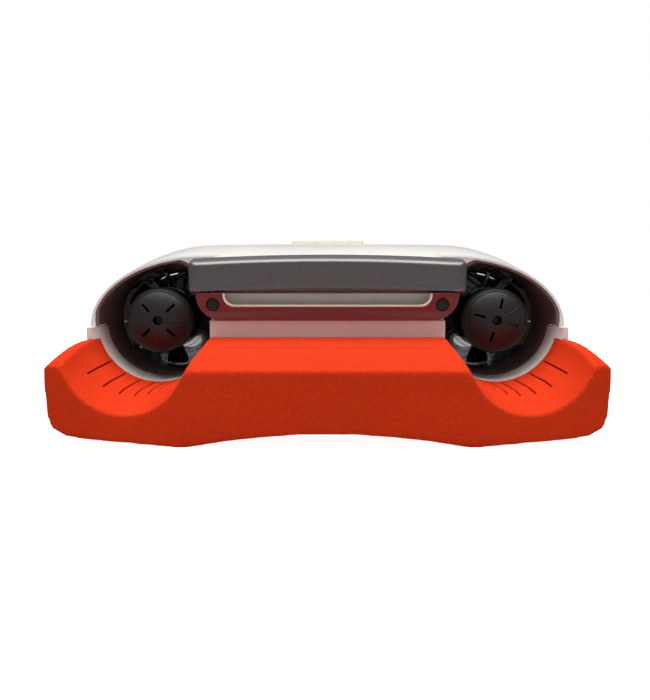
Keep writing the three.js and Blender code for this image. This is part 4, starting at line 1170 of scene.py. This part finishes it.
class SCOOTER_OT_upper_shell(PieceOperator):
    """Build the white upper shell"""

    bl_idname = "scooter.upper_shell"
    bl_label = "Upper shell"

    def build(self, sizes):
        shell = upper_body(0, COVER_T, PARTING_Z + GAP / 2)
        room = upper_body(WALL, MOUTH_T + BULKHEAD, 0)
        room = cut(room, *[hand_opening(side, WALL) for side in SIDES], *screw_bosses())
        top = latch_top()
        reach = LATCH_WIDTH / 2 + 4
        y = y_at(LATCH_T)
        floor = box(-reach, reach, y - 12, y + 12 + LATCH_TRAVEL, top - 6.2, top)
        floor = join(floor, display_pocket(WALL, 8), button_bore(BUTTON_RADIUS + WALL, 10))
        room = cut(room, common(floor, upper_body(0, COVER_T, PARTING_Z + GAP / 2)))
        inner = MIDDLE_HALF + 0.5
        for side in SIDES:
            x0, x1 = sorted((side * inner, side * 260))
            shell = cut(shell, box(x0, x1, -LENGTH, y_at(MOUTH_T), 0, 220))
        block = frame_outline(FRAME_HALF - 2, MIDDLE_TOP_Z + GAP, FRAME_TOP_Z, FRAME_CORNER)
        shell = join(cut(shell, room), upright_plate(block, MIDDLE_T, MOUTH_T + BULKHEAD))
        tools = []
        for side in SIDES:
            tools.append(liner_outer(side, GAP))
            tools.append(common(duct_outer(side, GAP), upper_body(WALL, MOUTH_T, 0)))
            tools.append(intake_window(side, 0))
            tools += hand_tools(side)
            lip = cut(lip_void(side, 0.2), liner_outer(side))
            tools.append(common(lip, below(PARTING_Z + 1)))
            tools.append(at_screw(side, bar(PLUG_BORE_RADIUS, -5, 26)))
        middle = MIDDLE_HALF + GAP
        tools.append(box(-middle, middle, -LENGTH, y_at(MOUTH_T + BULKHEAD + 1), 0, MIDDLE_TOP_Z + GAP))
        x = PACK_HALF + 3 * GAP + TRAY_WALL
        z0, z1 = PACK_Z - 3 * GAP - TRAY_WALL, PACK_Z + PACK_HEIGHT + 3 * GAP + TRAY_WALL
        tools.append(box(-x, x, y_at(COVER_T) - GAP, y_at(PACK_T + PACK_LENGTH + 5) + GAP, z0, z1))
        tools.append(cup_shape(GAP, FRAME_TOP_Z + 0.1, FRAME_T - 1, FRAME_T + CUP_DEPTH + GAP))
        x = LATCH_WIDTH / 2 + GAP
        reach = LATCH_LENGTH / 2 + GAP
        tools.append(box(-x, x, y - reach, y + reach + LATCH_TRAVEL, top - 3.2, top + 20))
        x, reach = (half + GAP for half in LATCH_STEM_HALF)
        tools.append(box(-x, x, y - reach, y + reach + LATCH_TRAVEL, top - 60, top))
        tools.append(display_pocket(GAP, 5.4))
        tools.append(moved(box(-10, 10, -8, 8, -12, 0), top_frame(DISPLAY_T)))
        tools.append(button_bore(BUTTON_RADIUS + GAP, 4))
        tools.append(button_bore(STEM_RADIUS + GAP, 30))
        tools += screw_holes()
        shell = largest(cut(shell, *tools))
        place_piece(rounded(shell, 0.5), "upper_shell", "hull", "cover_white", ["upper_cover"])


class SCOOTER_OT_lower_shell(PieceOperator):
    """Build the white lower shell with its lips round the tunnel mouths"""

    bl_idname = "scooter.lower_shell"
    bl_label = "Lower shell"

    def build(self, sizes):
        room = tub(WALL, MOUTH_T + BULKHEAD, 0, 120)
        bosses = join(*screw_bosses())
        keep = [
            jackets(),
            *[hand_opening(side, WALL) for side in SIDES],
            common(bosses, below(PARTING_Z - GAP)),
        ]
        shell = cut(lower_outer(), cut(room, *keep))
        tools = []
        for side in SIDES:
            tools.append(trough(side, MOUTH_T + 0.2))
            tools.append(lip_void(side))
            tools.append(liner_void(side, LINER_WALL + GAP, LIP_DEPTH))
            tools.append(duct_outer(side, GAP))
            tools += hand_tools(side)
        tools += screw_holes()
        shell = largest(cut(shell, *tools))
        place_piece(rounded(shell, 0.5), "lower_shell", "hull", "cover_white", ["lower_cover"])


class SCOOTER_OT_tunnels(PieceOperator):
    """Build the dark liners, the glossy ducts with their vanes and the intake grilles"""

    bl_idname = "scooter.tunnels"
    bl_label = "Tunnels"

    def liner(self, side):
        at = tunnel_frame(side)
        end = LIP_DEPTH + 0.8
        space = common(liner_void(side), upper_body(4.4, MOUTH_T - 10, 0))
        start = common(moved(box(-100, 100, -40, end, -100, 0), at), below(PARTING_Z))
        reach = MIDDLE_HALF + 3
        middle = box(-reach, reach, -LENGTH, y_at(MOUTH_T + BULKHEAD + 1), 0, LENGTH)
        stop = moved(box(-100, 100, DUCT_S - DUCT_WALL - 2 * GAP, 200, -100, 100), at)
        liner = cut(liner_outer(side), space, start, behind(y_at(MOUTH_T) + 1), middle, stop)
        lip = moved(box(-100, 100, -40, end, -100, 100), at)
        liner = cut(liner, common(lip, below(PARTING_Z + 1)))
        lean = shift(0, SEAM_S, 0) @ Matrix.Rotation(-SEAM_LEAN, 4, "X")
        seam = moved(box(-100, 100, -0.3, 0.3, -60, 80), lean)
        seam = common(moved(seam, at), liner_void(side, 0.7))
        name = side_name(side)
        liner = rounded(cut(largest(liner), seam), 0.25)
        place_piece(liner, f"liner_{name}", "hull", "liner_dark", [f"tunnel_liner_{name}"])

    def vane(self, side):
        plate = []
        for i in range(9):
            share = i / 8
            y = VANE_S + VANE_CHORD * share
            half = 0.5 + 0.9 * math.sin(math.pi * share)
            bend = 4.5 * (share - 0.4) ** 2 * side
            plate.append((bend + half, y))
            plate.insert(0, (bend - half, y))
        return prism(plate, 9, DUCT_RADIUS + 1)

    def duct(self, side, sizes):
        inside = join(duct_shape(0), bar(DUCT_RADIUS, DUCT_S - 5, DUCT_S + 5, FINE))
        boss = [(0, 107), (22, 107), (24, 110), (23.4, 117), (22, 124), (19, 130), (15, 136)]
        boss += [(10.5, 141), (6, 144), (0, 146)]
        count = sizes.vane_count
        vanes = repeated(
            self.vane(side),
            count,
            first_turn=(0, side * VANE_FIRST, 0),
            turn=(0, side * 2 * math.pi / count, 0),
        )
        vanes = cut(vanes, bar(TUBE_RADIUS - 1, 0, 200))
        whole = join(cut(duct_shape(DUCT_WALL), inside), turned(boss), bar(TUBE_RADIUS, 26, 108), vanes)
        whole = cut(whole, bar(BEARING_BORE_RADIUS, 20, 109), bar(SHAFT_RADIUS + 0.5, 100, 112))
        whole = moved(whole, tunnel_frame(side))
        whole = common(whole, upper_body(3.3, MOUTH_T - 20, 0), tub(WALL + GAP, MOUTH_T - 20, 0, 300))
        name = side_name(side)
        duct = rounded(largest(whole), 0.4)
        place_piece(duct, f"duct_tube_{name}", "hull", "duct_black", [f"duct_{name}"])

    def grille(self, side, sizes):
        skin = cut(upper_body(0.2, MOUTH_T), upper_body(3.2, MOUTH_T - 5, 0))
        rim = cut(intake_window(side, -GAP), intake_window(side, -3))
        count = sizes.slat_count
        pitch = SLAT_SPAN / count
        slat = box(-SLAT_HALF, SLAT_HALF, -70, 70, -70, 70)
        slats = repeated(
            slat,
            count,
            start=(-pitch * (count - 1) / 2, (SCOOP_FROM_S + SCOOP_TO_S) / 2, 60),
            step=(pitch, 0, 0),
            first_turn=(0, 0, side * SLAT_TURN),
        )
        slats = common(moved(slats, tunnel_frame(side)), intake_window(side, -1))
        grille = largest(common(skin, join(rim, slats)))
        name = side_name(side)
        piece = rounded(grille, 0.35)
        place_piece(piece, f"grille_{name}", "hull", "duct_black", [f"intake_grille_{name}"])

    def build(self, sizes):
        for side in SIDES:
            self.liner(side)
            self.duct(side, sizes)
            self.grille(side, sizes)


class SCOOTER_OT_propellers(PieceOperator):
    """Build the propellers with their slotted hub caps and screws"""

    bl_idname = "scooter.propellers"
    bl_label = "Propellers"

    def blade(self, side):
        tip = DUCT_RADIUS - BLADE_TIP_GAP
        root = HUB_RADIUS - 1.5
        around = [(0.5 * math.cos(a), 0.5 * math.sin(a)) for a in np.linspace(0, 2 * math.pi, 25)[:-1]]
        stations = []
        for i in range(13):
            share = i / 12
            chord = 22 + 12 * share - 10 * share**4
            thickness = 3.2 - 1.6 * share
            pitch = side * math.radians(52 - 22 * share)
            outline = []
            for along, up in around:
                camber = 0.09 * (1 - (2 * along) ** 2) * chord
                u, v = along * chord, up * thickness + camber
                x = u * math.cos(pitch) - v * math.sin(pitch)
                outline.append((x, u * math.sin(pitch) + v * math.cos(pitch)))
            stations.append((root + (tip - root) * share, outline))
        return moved(loft(stations), shift(0, BLADE_S, 0) @ STAND_UP)

    def propeller(self, side, start, sizes):
        edge = HUB_RADIUS
        profile = [(0, 16), (HUB_BORE, 16), (HUB_BORE, DOME_END_S + GAP), (edge - 0.4, DOME_END_S + GAP)]
        profile += [(edge, DOME_END_S + GAP + 0.5), (edge, HUB_END_S - 0.6), (edge - 0.5, HUB_END_S)]
        profile += [(HUB_BORE, HUB_END_S), (HUB_BORE, 19), (0, 19)]
        count = sizes.blade_count
        blades = repeated(
            self.blade(side),
            count,
            first_turn=(0, start, 0),
            turn=(0, 2 * math.pi / count, 0),
        )
        blades = cut(blades, bar(HUB_BORE, 18, 120, FINE))
        tip = DUCT_RADIUS - BLADE_TIP_GAP
        outer = ring(tip, 60, 0, 200)
        whole = cut(join(turned(profile), blades), outer, bar(SHAFT_RADIUS + GAP, 0, 40))
        return moved(rounded(whole, 0.25), tunnel_frame(side))

    def hub_cap(self, side, start, sizes):
        depth = DOME_RIM_S - DOME_APEX_S
        outer, inner = [], []
        for i in range(25):
            angle = math.pi / 2 * i / 24
            outer.append((HUB_RADIUS * math.sin(angle), DOME_RIM_S - depth * math.cos(angle)))
            y = DOME_RIM_S + DOME_WALL - depth * math.cos(angle)
            inner.append(((HUB_RADIUS - DOME_WALL) * math.sin(angle), y))
        rim = [(HUB_RADIUS, DOME_END_S), (HUB_RADIUS - DOME_WALL, DOME_END_S)]
        dome = turned(outer + rim + list(reversed(inner)))
        post = bar(POST_RADIUS, DOME_APEX_S + 1.2, 15.7)
        count = sizes.slot_count
        turn = (0, 2 * math.pi / count, 0)
        slot = prism(rounded_rectangle(1.0, 4.5, 0.9), -30, 30)
        slot = moved(slot, shift(0, 0, 14.1) @ STAND_UP)
        slots = repeated(slot, count, first_turn=(0, start + math.pi / 4, 0), turn=turn)
        r = DOME_LINE_RADIUS
        y = DOME_RIM_S - depth * math.cos(math.asin(r / HUB_RADIUS)) + 0.5
        line = ring(r - 0.35, r + 0.35, y - 3, y)
        seat = bar(HUB_SCREW_RADIUS, -20, 2)
        cap = cut(join(dome, post), slots, line, seat, bar(HUB_SCREW_BORE_RADIUS, -20, 30))
        path = []
        for i in range(13):
            radius = 6.5 + 15.5 * i / 12
            path.append((radius, DOME_RIM_S - depth * math.cos(math.asin(radius / HUB_RADIUS))))
        cap = join(cap, *[self.rib(path, start + k * math.pi / 2) for k in range(count)])
        return moved(rounded(cap, 0.25), tunnel_frame(side))

    def rib(self, path, angle):
        """A low rib that follows the dome outwards."""
        sections = []
        for radius, y in path:
            outline = [(-0.4, y + 0.6), (0.4, y + 0.6), (0.2, y - 0.15), (-0.2, y - 0.15)]
            sections.append((radius, outline))
        shape = loft(sections)
        # the loft ran along Y with Z for depth: turn it so that it runs outwards along Z
        swap = Matrix(((1, 0, 0, 0), (0, 0, 1, 0), (0, 1, 0, 0), (0, 0, 0, 1)))
        return moved(shape, Matrix.Rotation(angle, 4, "Y") @ swap)

    def screw(self, side):
        profile = [(0, -1.2), (2.4, -1.2), (3.3, -0.7), (3.6, 0), (3.6, 1.7), (2, 1.7)]
        head = turned(profile + [(2, 13), (0, 13)])
        return moved(cut(head, bar(1.8, -4, 0.4, 6)), tunnel_frame(side))

    def build(self, sizes):
        for side in SIDES:
            name = side_name(side)
            body = f"propeller_{name}"
            start = 0 if side < 0 else CAP_REST
            piece = self.propeller(side, BLADE_REST, sizes)
            place_piece(piece, f"blades_{name}", body, "duct_black", [f"propeller_{name}"])
            piece = self.hub_cap(side, start, sizes)
            place_piece(piece, f"hub_dome_{name}", body, "cap_black", [f"hub_cap_{name}"])
            screw = self.screw(side)
            covered = [f"hub_screw_{name}"]
            place_piece(screw, f"dome_screw_{name}", body, "cap_black", covered)


class SCOOTER_OT_battery(PieceOperator):
    """Build the battery's grey end cap"""

    bl_idname = "scooter.battery"
    bl_label = "Battery end"

    def outline(self, half_width, bottom, top):
        bow = 2.6
        right = []
        for i in range(25):
            share = i / 24
            right.append((half_width * share, bottom - bow * share**2))
        for i in range(24, -1, -1):
            share = i / 24
            right.append((half_width * share, top - (bow + 0.7) * share**2))
        return self.eased(right)

    def eased(self, right):
        """Rounds the two corners at the end of a half outline and mirrors it."""
        (x0, low), (x1, high) = right[24], right[25]
        radius = min(3.2, (high - low) / 2.2)
        points = []
        for x, z in right[:25]:
            if x < x0 - radius - 0.1:
                points.append((x, z))
        for centre_z, start in ((low + radius, -90), (high - radius, 0)):
            points += arc(x0 - radius, centre_z, radius, start, 90, 6)
        for x, z in right[25:]:
            if x < x0 - radius - 0.1:
                points.append((x, z))
        return points + mirrored(points[1:-1])

    def build(self, sizes):
        depth = COVER_T - 2 * GAP - CAP_T
        around = 8.4
        flat = self.outline(CAP_HALF - around - 2, CAP_BOTTOM_Z + 3, CAP_TOP_Z - 5)
        stations = [(y_at(CAP_T), flat)]
        for i in range(17):
            angle = math.pi / 2 * i / 16
            into = (1 - math.cos(angle)) * around
            inset = (1 - math.sin(angle)) * around
            top = CAP_TOP_Z + (CAP_FLARE_Z - CAP_TOP_Z) * into / depth
            edge = 3.2 * (1 - math.sin(angle)) ** 1.5
            outline = self.outline(CAP_HALF - inset, CAP_BOTTOM_Z + edge / 2, top - edge)
            stations.append((y_at(CAP_T + into), outline))
        stations.append((y_at(CAP_T + depth), self.outline(CAP_HALF, CAP_BOTTOM_Z, CAP_FLARE_Z)))
        y = y_at(CAP_T + depth)
        cap = cut(loft(stations), box(-60, 60, y - 6, y + 1, 110, 124))
        place_piece(rounded(cap, 0.5), "end_cap", "battery", "gunmetal", ["battery_end_cap"])


class SCOOTER_OT_rear(PieceOperator):
    """Build the red frame, its finger recess and the screw plugs"""

    bl_idname = "scooter.rear"
    bl_label = "Rear frame"

    def build(self, sizes):
        outline = frame_outline(FRAME_HALF, MIDDLE_TOP_Z + GAP, FRAME_TOP_Z, FRAME_CORNER)
        plate = upright_plate(outline, FRAME_T, FRAME_T + FRAME_THICKNESS)
        tools = [cup_shape(GAP, FRAME_TOP_Z + 5, FRAME_T - 1, FRAME_T + 30)]
        for side in SIDES:
            tools.append(at_screw(side, bar(PLUG_BORE_RADIUS, -20, 40)))
            tools.append(at_screw(side, bar(PLUG_RADIUS + GAP, -5, 3)))
        frame_piece = rounded(cut(plate, *tools), 0.7, 3)
        place_piece(frame_piece, "red_frame", "hull", "frame_red", ["rear_frame"])

        cup = cup_shape(0, FRAME_TOP_Z, FRAME_T + 0.4, FRAME_T + CUP_DEPTH)
        back = FRAME_T + CUP_DEPTH - CUP_WALL
        cup = cut(cup, cup_shape(-CUP_WALL, FRAME_TOP_Z + 5, FRAME_T - 2, back, CUP_CORNER - 1))
        place_piece(rounded(cup, 0.35), "finger_cup", "hull", "recess_beige", ["finger_recess"])

        for side in SIDES:
            name = side_name(side)
            profile = [(0, 1.15), (2.2, 1.0), (4.2, 0.8), (4.8, 1.0), (PLUG_RADIUS, 1.4)]
            profile += [(PLUG_RADIUS, 1.7), (0, 1.7)]
            plug = at_screw(side, turned(profile, ROUND))
            place_piece(plug, f"plug_{name}", "hull", "rubber_black", [f"screw_plug_{name}"])


class SCOOTER_OT_controls(PieceOperator):
    """Build the release bar, the display window, the power button and the deck screws"""

    bl_idname = "scooter.controls"
    bl_label = "Controls"

    def build(self, sizes):
        top = latch_top()
        y = y_at(LATCH_T)
        outline = rounded_rectangle(LATCH_WIDTH / 2, LATCH_LENGTH / 2, 4)
        bar_top = prism([(px, py + y) for px, py in outline], top - 3, top + LATCH_RISE)
        rib = box(-26, 26, -0.6, 0.6, top + LATCH_RISE - 0.7, top + LATCH_RISE + 1)
        ribs = repeated(rib, sizes.latch_rib_count, start=(0, y - 3.6, 0), step=(0, 1.8, 0))
        bar_top = rounded(cut(bar_top, ribs), 0.5)
        x, reach = LATCH_STEM_HALF
        stem = box(-x, x, y - reach, y + reach, top - 16, top - 2)
        foot = box(-14, 14, y - 30, y + 5, top - 18.5, top - 14)
        piece = join(bar_top, stem, foot)
        place_piece(piece, "latch_bar", "latch", "recess_beige", ["release_bar"])

        lens = rounded(prism(rounded_rectangle(*LENS_HALF, LENS_CORNER), -2.4, -0.6), 0.4)
        lens = moved(lens, top_frame(DISPLAY_T))
        place_piece(lens, "display_window", "hull", "lens", ["display_lens"])
        profile = [(0, 0.7), (3.5, 0.85), (5.6, 1.2), (6.6, 1.0), (BUTTON_RADIUS, 0.5)]
        profile += [(BUTTON_RADIUS, -2.2), (STEM_RADIUS, -2.2), (STEM_RADIUS, -7.5), (0, -7.5)]
        button = moved(turned(profile, ROUND), top_frame(BUTTON_T) @ STAND_UP)
        place_piece(button, "push_button", "button", "rubber_black", ["power_button"])

        for i, (x, t) in enumerate(SCREW_PLACES, 1):
            z = screw_top(x, t)
            under = z - SCREW_HEAD
            profile = [(0, z), (3.4, z), (SCREW_HEAD_RADIUS, z - 0.6), (SCREW_HEAD_RADIUS, under)]
            profile += [(SCREW_RADIUS, under), (SCREW_RADIUS, 58), (0, 58)]
            screw = cut(turned(profile, ROUND), bar(SCREW_RADIUS, z - 1.8, z + 1, 6))
            screw = moved(screw, shift(x, y_at(t), 0) @ STAND_UP)
            place_piece(screw, f"deck_screw_{i}", "hull", "steel", [f"cover_screw_{i}"])


class SCOOTER_OT_grips(PieceOperator):
    """Build the ribbed rubber grips and the trigger levers"""

    bl_idname = "scooter.grips"
    bl_label = "Hand grips"

    def sleeve(self, sizes):
        reach = GRIP_OPENING / 2 - 2
        bore = GRIP_CORE_RADIUS + GAP
        count = 49
        profile = [(bore, -reach), (12.0, -reach)]
        for i in range(count):
            share = i / (count - 1)
            swell = math.sin(math.pi * share) ** 0.5 if 0 < share < 1 else 0
            along = -reach + 0.4 + (2 * reach - 0.8) * share
            profile.append((12.8 + (GRIP_RADIUS - 12.8) * swell, along))
        profile += [(12.0, reach), (bore, reach), (bore, -reach)]
        sleeve = turned(profile)
        groove = turned([(14.6, -0.7), (20, -1.4), (20, 1.4), (14.6, 0.7), (14.6, -0.7)])
        rings = sizes.grip_ring_count
        pitch = 66 / (rings - 1)
        cuts = repeated(groove, rings, start=(0, -33, 0), step=(0, pitch, 0))
        return rounded(cut(sleeve, cuts), 0.3)

    def lever(self, side):
        x, y, h = side * TRIGGER_X, TRIGGER_PIVOT_Y, TRIGGER_HALF_HEIGHT
        outline = []
        for i in range(33):
            share = i / 32
            outline.append((1.5 * math.sin(math.pi * share) ** 2 * side, -TRIGGER_LENGTH * share))
        half = 2.2
        near = [(px + x - half, py + y) for px, py in outline]
        far = [(px + x + half, py + y) for px, py in reversed(outline)]
        blade = prism(near + far, -h, h)
        pivot = upright_bar(PIVOT_RADIUS, x, y, -h, h)
        hole = upright_bar(PIN_RADIUS + GAP, x, y, -20, 20)
        return rounded(cut(join(blade, pivot), hole), 0.6, 3)

    def build(self, sizes):
        for side in SIDES:
            name = side_name(side)
            at = grip_frame(side) @ shift(0, 0, GRIP_Z)
            sleeve = moved(self.sleeve(sizes), at)
            place_piece(sleeve, f"grip_{name}", "hull", "rubber_black", [f"grip_sleeve_{name}"])
            lever = moved(self.lever(side), at)
            place_piece(lever, f"lever_{name}", f"trigger_{name}", "cap_black", [f"trigger_{name}"])


class SCOOTER_OT_stage(PieceOperator):
    """Set up the pale floor, the soft studio light and the camera"""

    bl_idname = "scooter.stage"
    bl_label = "Stage"

    def light(self, name, place, size, power, aim=(0, 0, 0.07)):
        data = bpy.data.lights.new(name, "AREA")
        data.shape = "RECTANGLE"
        data.size, data.size_y = size
        data.energy = power
        lamp = bpy.data.objects.new(name, data)
        bpy.context.scene.collection.objects.link(lamp)
        lamp.location = place
        lamp.rotation_euler = (Vector(aim) - Vector(place)).to_track_quat("-Z", "Y").to_euler()

    def world(self):
        world = bpy.data.worlds.new("studio")
        bpy.context.scene.world = world
        world.use_nodes = True
        nodes, link = world.node_tree.nodes, world.node_tree.links.new
        out = nodes["World Output"]
        soft = nodes["Background"]
        soft.inputs["Color"].default_value = (1, 1, 1, 1)
        soft.inputs["Strength"].default_value = 0.2
        seen = nodes.new("ShaderNodeBackground")
        seen.inputs["Color"].default_value = (1, 1, 1, 1)
        seen.inputs["Strength"].default_value = 1.0
        path = nodes.new("ShaderNodeLightPath")
        mix = nodes.new("ShaderNodeMixShader")
        link(path.outputs["Is Camera Ray"], mix.inputs["Fac"])
        link(soft.outputs["Background"], mix.inputs[1])
        link(seen.outputs["Background"], mix.inputs[2])
        link(mix.outputs["Shader"], out.inputs["Surface"])

    def floor(self):
        reach = 20000
        corners = [(-reach, -reach, 0), (reach, -reach, 0), (reach, reach, 0), (-reach, reach, 0)]
        shape = solid(corners, [(0, 1, 2, 3)])
        shape.data.transform(Matrix.Scale(MM, 4))
        shape.name = "floor"
        f = Finish("floor_pale", (0.55, 0.55, 0.55), roughness=0.9)
        cloud = f.noise(1.5, 2, 0.5)
        colour = f.blend(cloud, (0.54, 0.54, 0.54), (0.56, 0.56, 0.56))
        f.shader.inputs["Emission Color"].default_value = (1, 1, 1, 1)
        seen = f.node("ShaderNodeLightPath").outputs["Is Camera Ray"]
        f.link(f.spread(seen, 0, 1, 0.05, 0.95), f.shader.inputs["Emission Strength"])
        shape.data.materials.append(f.set(base_color=colour))

    def build(self, sizes):
        scene = bpy.context.scene
        scene.view_settings.view_transform = "Standard"
        self.world()
        self.floor()
        self.light("top_softbox", (0, -0.15, 1.3), (1.6, 1.2), 29)
        self.light("rear_softbox", (0.1, -1.5, 0.75), (1.3, 0.8), 0.6)
        data = bpy.data.cameras.new("camera")
        data.lens = CAMERA_LENS
        data.shift_x = CAMERA_SHIFT_X
        data.clip_start = 0.01
        camera = bpy.data.objects.new("camera", data)
        scene.collection.objects.link(camera)
        camera.location = CAMERA_PLACE
        camera.rotation_euler = (math.pi / 2 - CAMERA_DIP, 0, 0)
        scene.camera = camera


# ------------------------------------------------------------------ settings and panel
def count_property(name, description, default, least=2):
    return IntProperty(name=name, description=description, default=default, min=least)


class ScooterSizes(bpy.types.PropertyGroup):
    """Sizes that a user may change."""

    groove_count: count_property("Grooves", "Slits in each trough of the float", 6, 1)
    groove_width: FloatProperty(
        name="Groove width", description="Width of a slit", default=0.0013, unit="LENGTH"
    )
    groove_depth: FloatProperty(
        name="Groove depth", description="Depth of a slit", default=0.003, unit="LENGTH"
    )
    vane_count: count_property("Vanes", "Vanes that hold each motor", 5)
    slat_count: count_property("Slats", "Slats of each intake grille", 7)
    blade_count: count_property("Blades", "Blades of each propeller", 3)
    slot_count: count_property("Slots", "Slots in each hub cap", 4)
    latch_rib_count: count_property("Latch ribs", "Ribs on the release bar", 5, 1)
    grip_ring_count: count_property("Grip rings", "Rings cut in each grip", 12)


def colour_property(name, description, *values):
    return FloatVectorProperty(
        name=name, description=description, default=srgb(*values), subtype="COLOR", min=0, max=1
    )


class ScooterColours(bpy.types.PropertyGroup):
    """Colours that a user may change."""

    foam: colour_property("Foam", "Colour of the float", 224, 58, 18)
    cover: colour_property("Shells", "Colour of the two shells", 246, 243, 238)
    liner: colour_property("Liners", "Colour of the tunnel liners", 118, 106, 102)
    duct: colour_property("Ducts", "Colour of the ducts and propellers", 16, 18, 22)
    hub: colour_property("Hub caps", "Colour of the hub caps", 30, 27, 26)
    cap: colour_property("Battery end", "Colour of the battery's end cap", 112, 110, 110)
    frame: colour_property("Rear frame", "Colour of the frame under the battery", 118, 20, 20)
    recess: colour_property("Recess", "Colour of the finger recess and release bar", 238, 230, 216)


OPERATORS = (
    SCOOTER_OT_kept,
    SCOOTER_OT_float,
    SCOOTER_OT_upper_shell,
    SCOOTER_OT_lower_shell,
    SCOOTER_OT_tunnels,
    SCOOTER_OT_propellers,
    SCOOTER_OT_battery,
    SCOOTER_OT_rear,
    SCOOTER_OT_controls,
    SCOOTER_OT_grips,
    SCOOTER_OT_stage,
)


class SCOOTER_PT_panel(bpy.types.Panel):
    """Sizes, colours and build steps of the scooter"""

    bl_idname = "SCOOTER_PT_panel"
    bl_label = "Underwater scooter"
    bl_space_type = "VIEW_3D"
    bl_region_type = "UI"
    bl_category = "Scooter"

    def draw(self, context):
        for group in (context.scene.scooter_sizes, context.scene.scooter_colours):
            for key in group.__annotations__:
                self.layout.prop(group, key)
        for operator in OPERATORS:
            self.layout.operator(operator.bl_idname)


CLASSES = (ScooterSizes, ScooterColours, *OPERATORS, SCOOTER_PT_panel)


def register():
    for each in CLASSES:
        bpy.utils.register_class(each)
    bpy.types.Scene.scooter_sizes = PointerProperty(type=ScooterSizes)
    bpy.types.Scene.scooter_colours = PointerProperty(type=ScooterColours)


def unregister():
    del bpy.types.Scene.scooter_sizes
    del bpy.types.Scene.scooter_colours
    for each in reversed(CLASSES):
        bpy.utils.unregister_class(each)


def main():
    register()
    for operator in OPERATORS:
        group, name = operator.bl_idname.split(".")
        getattr(getattr(bpy.ops, group), name)()


if __name__ == "__main__":
    main()
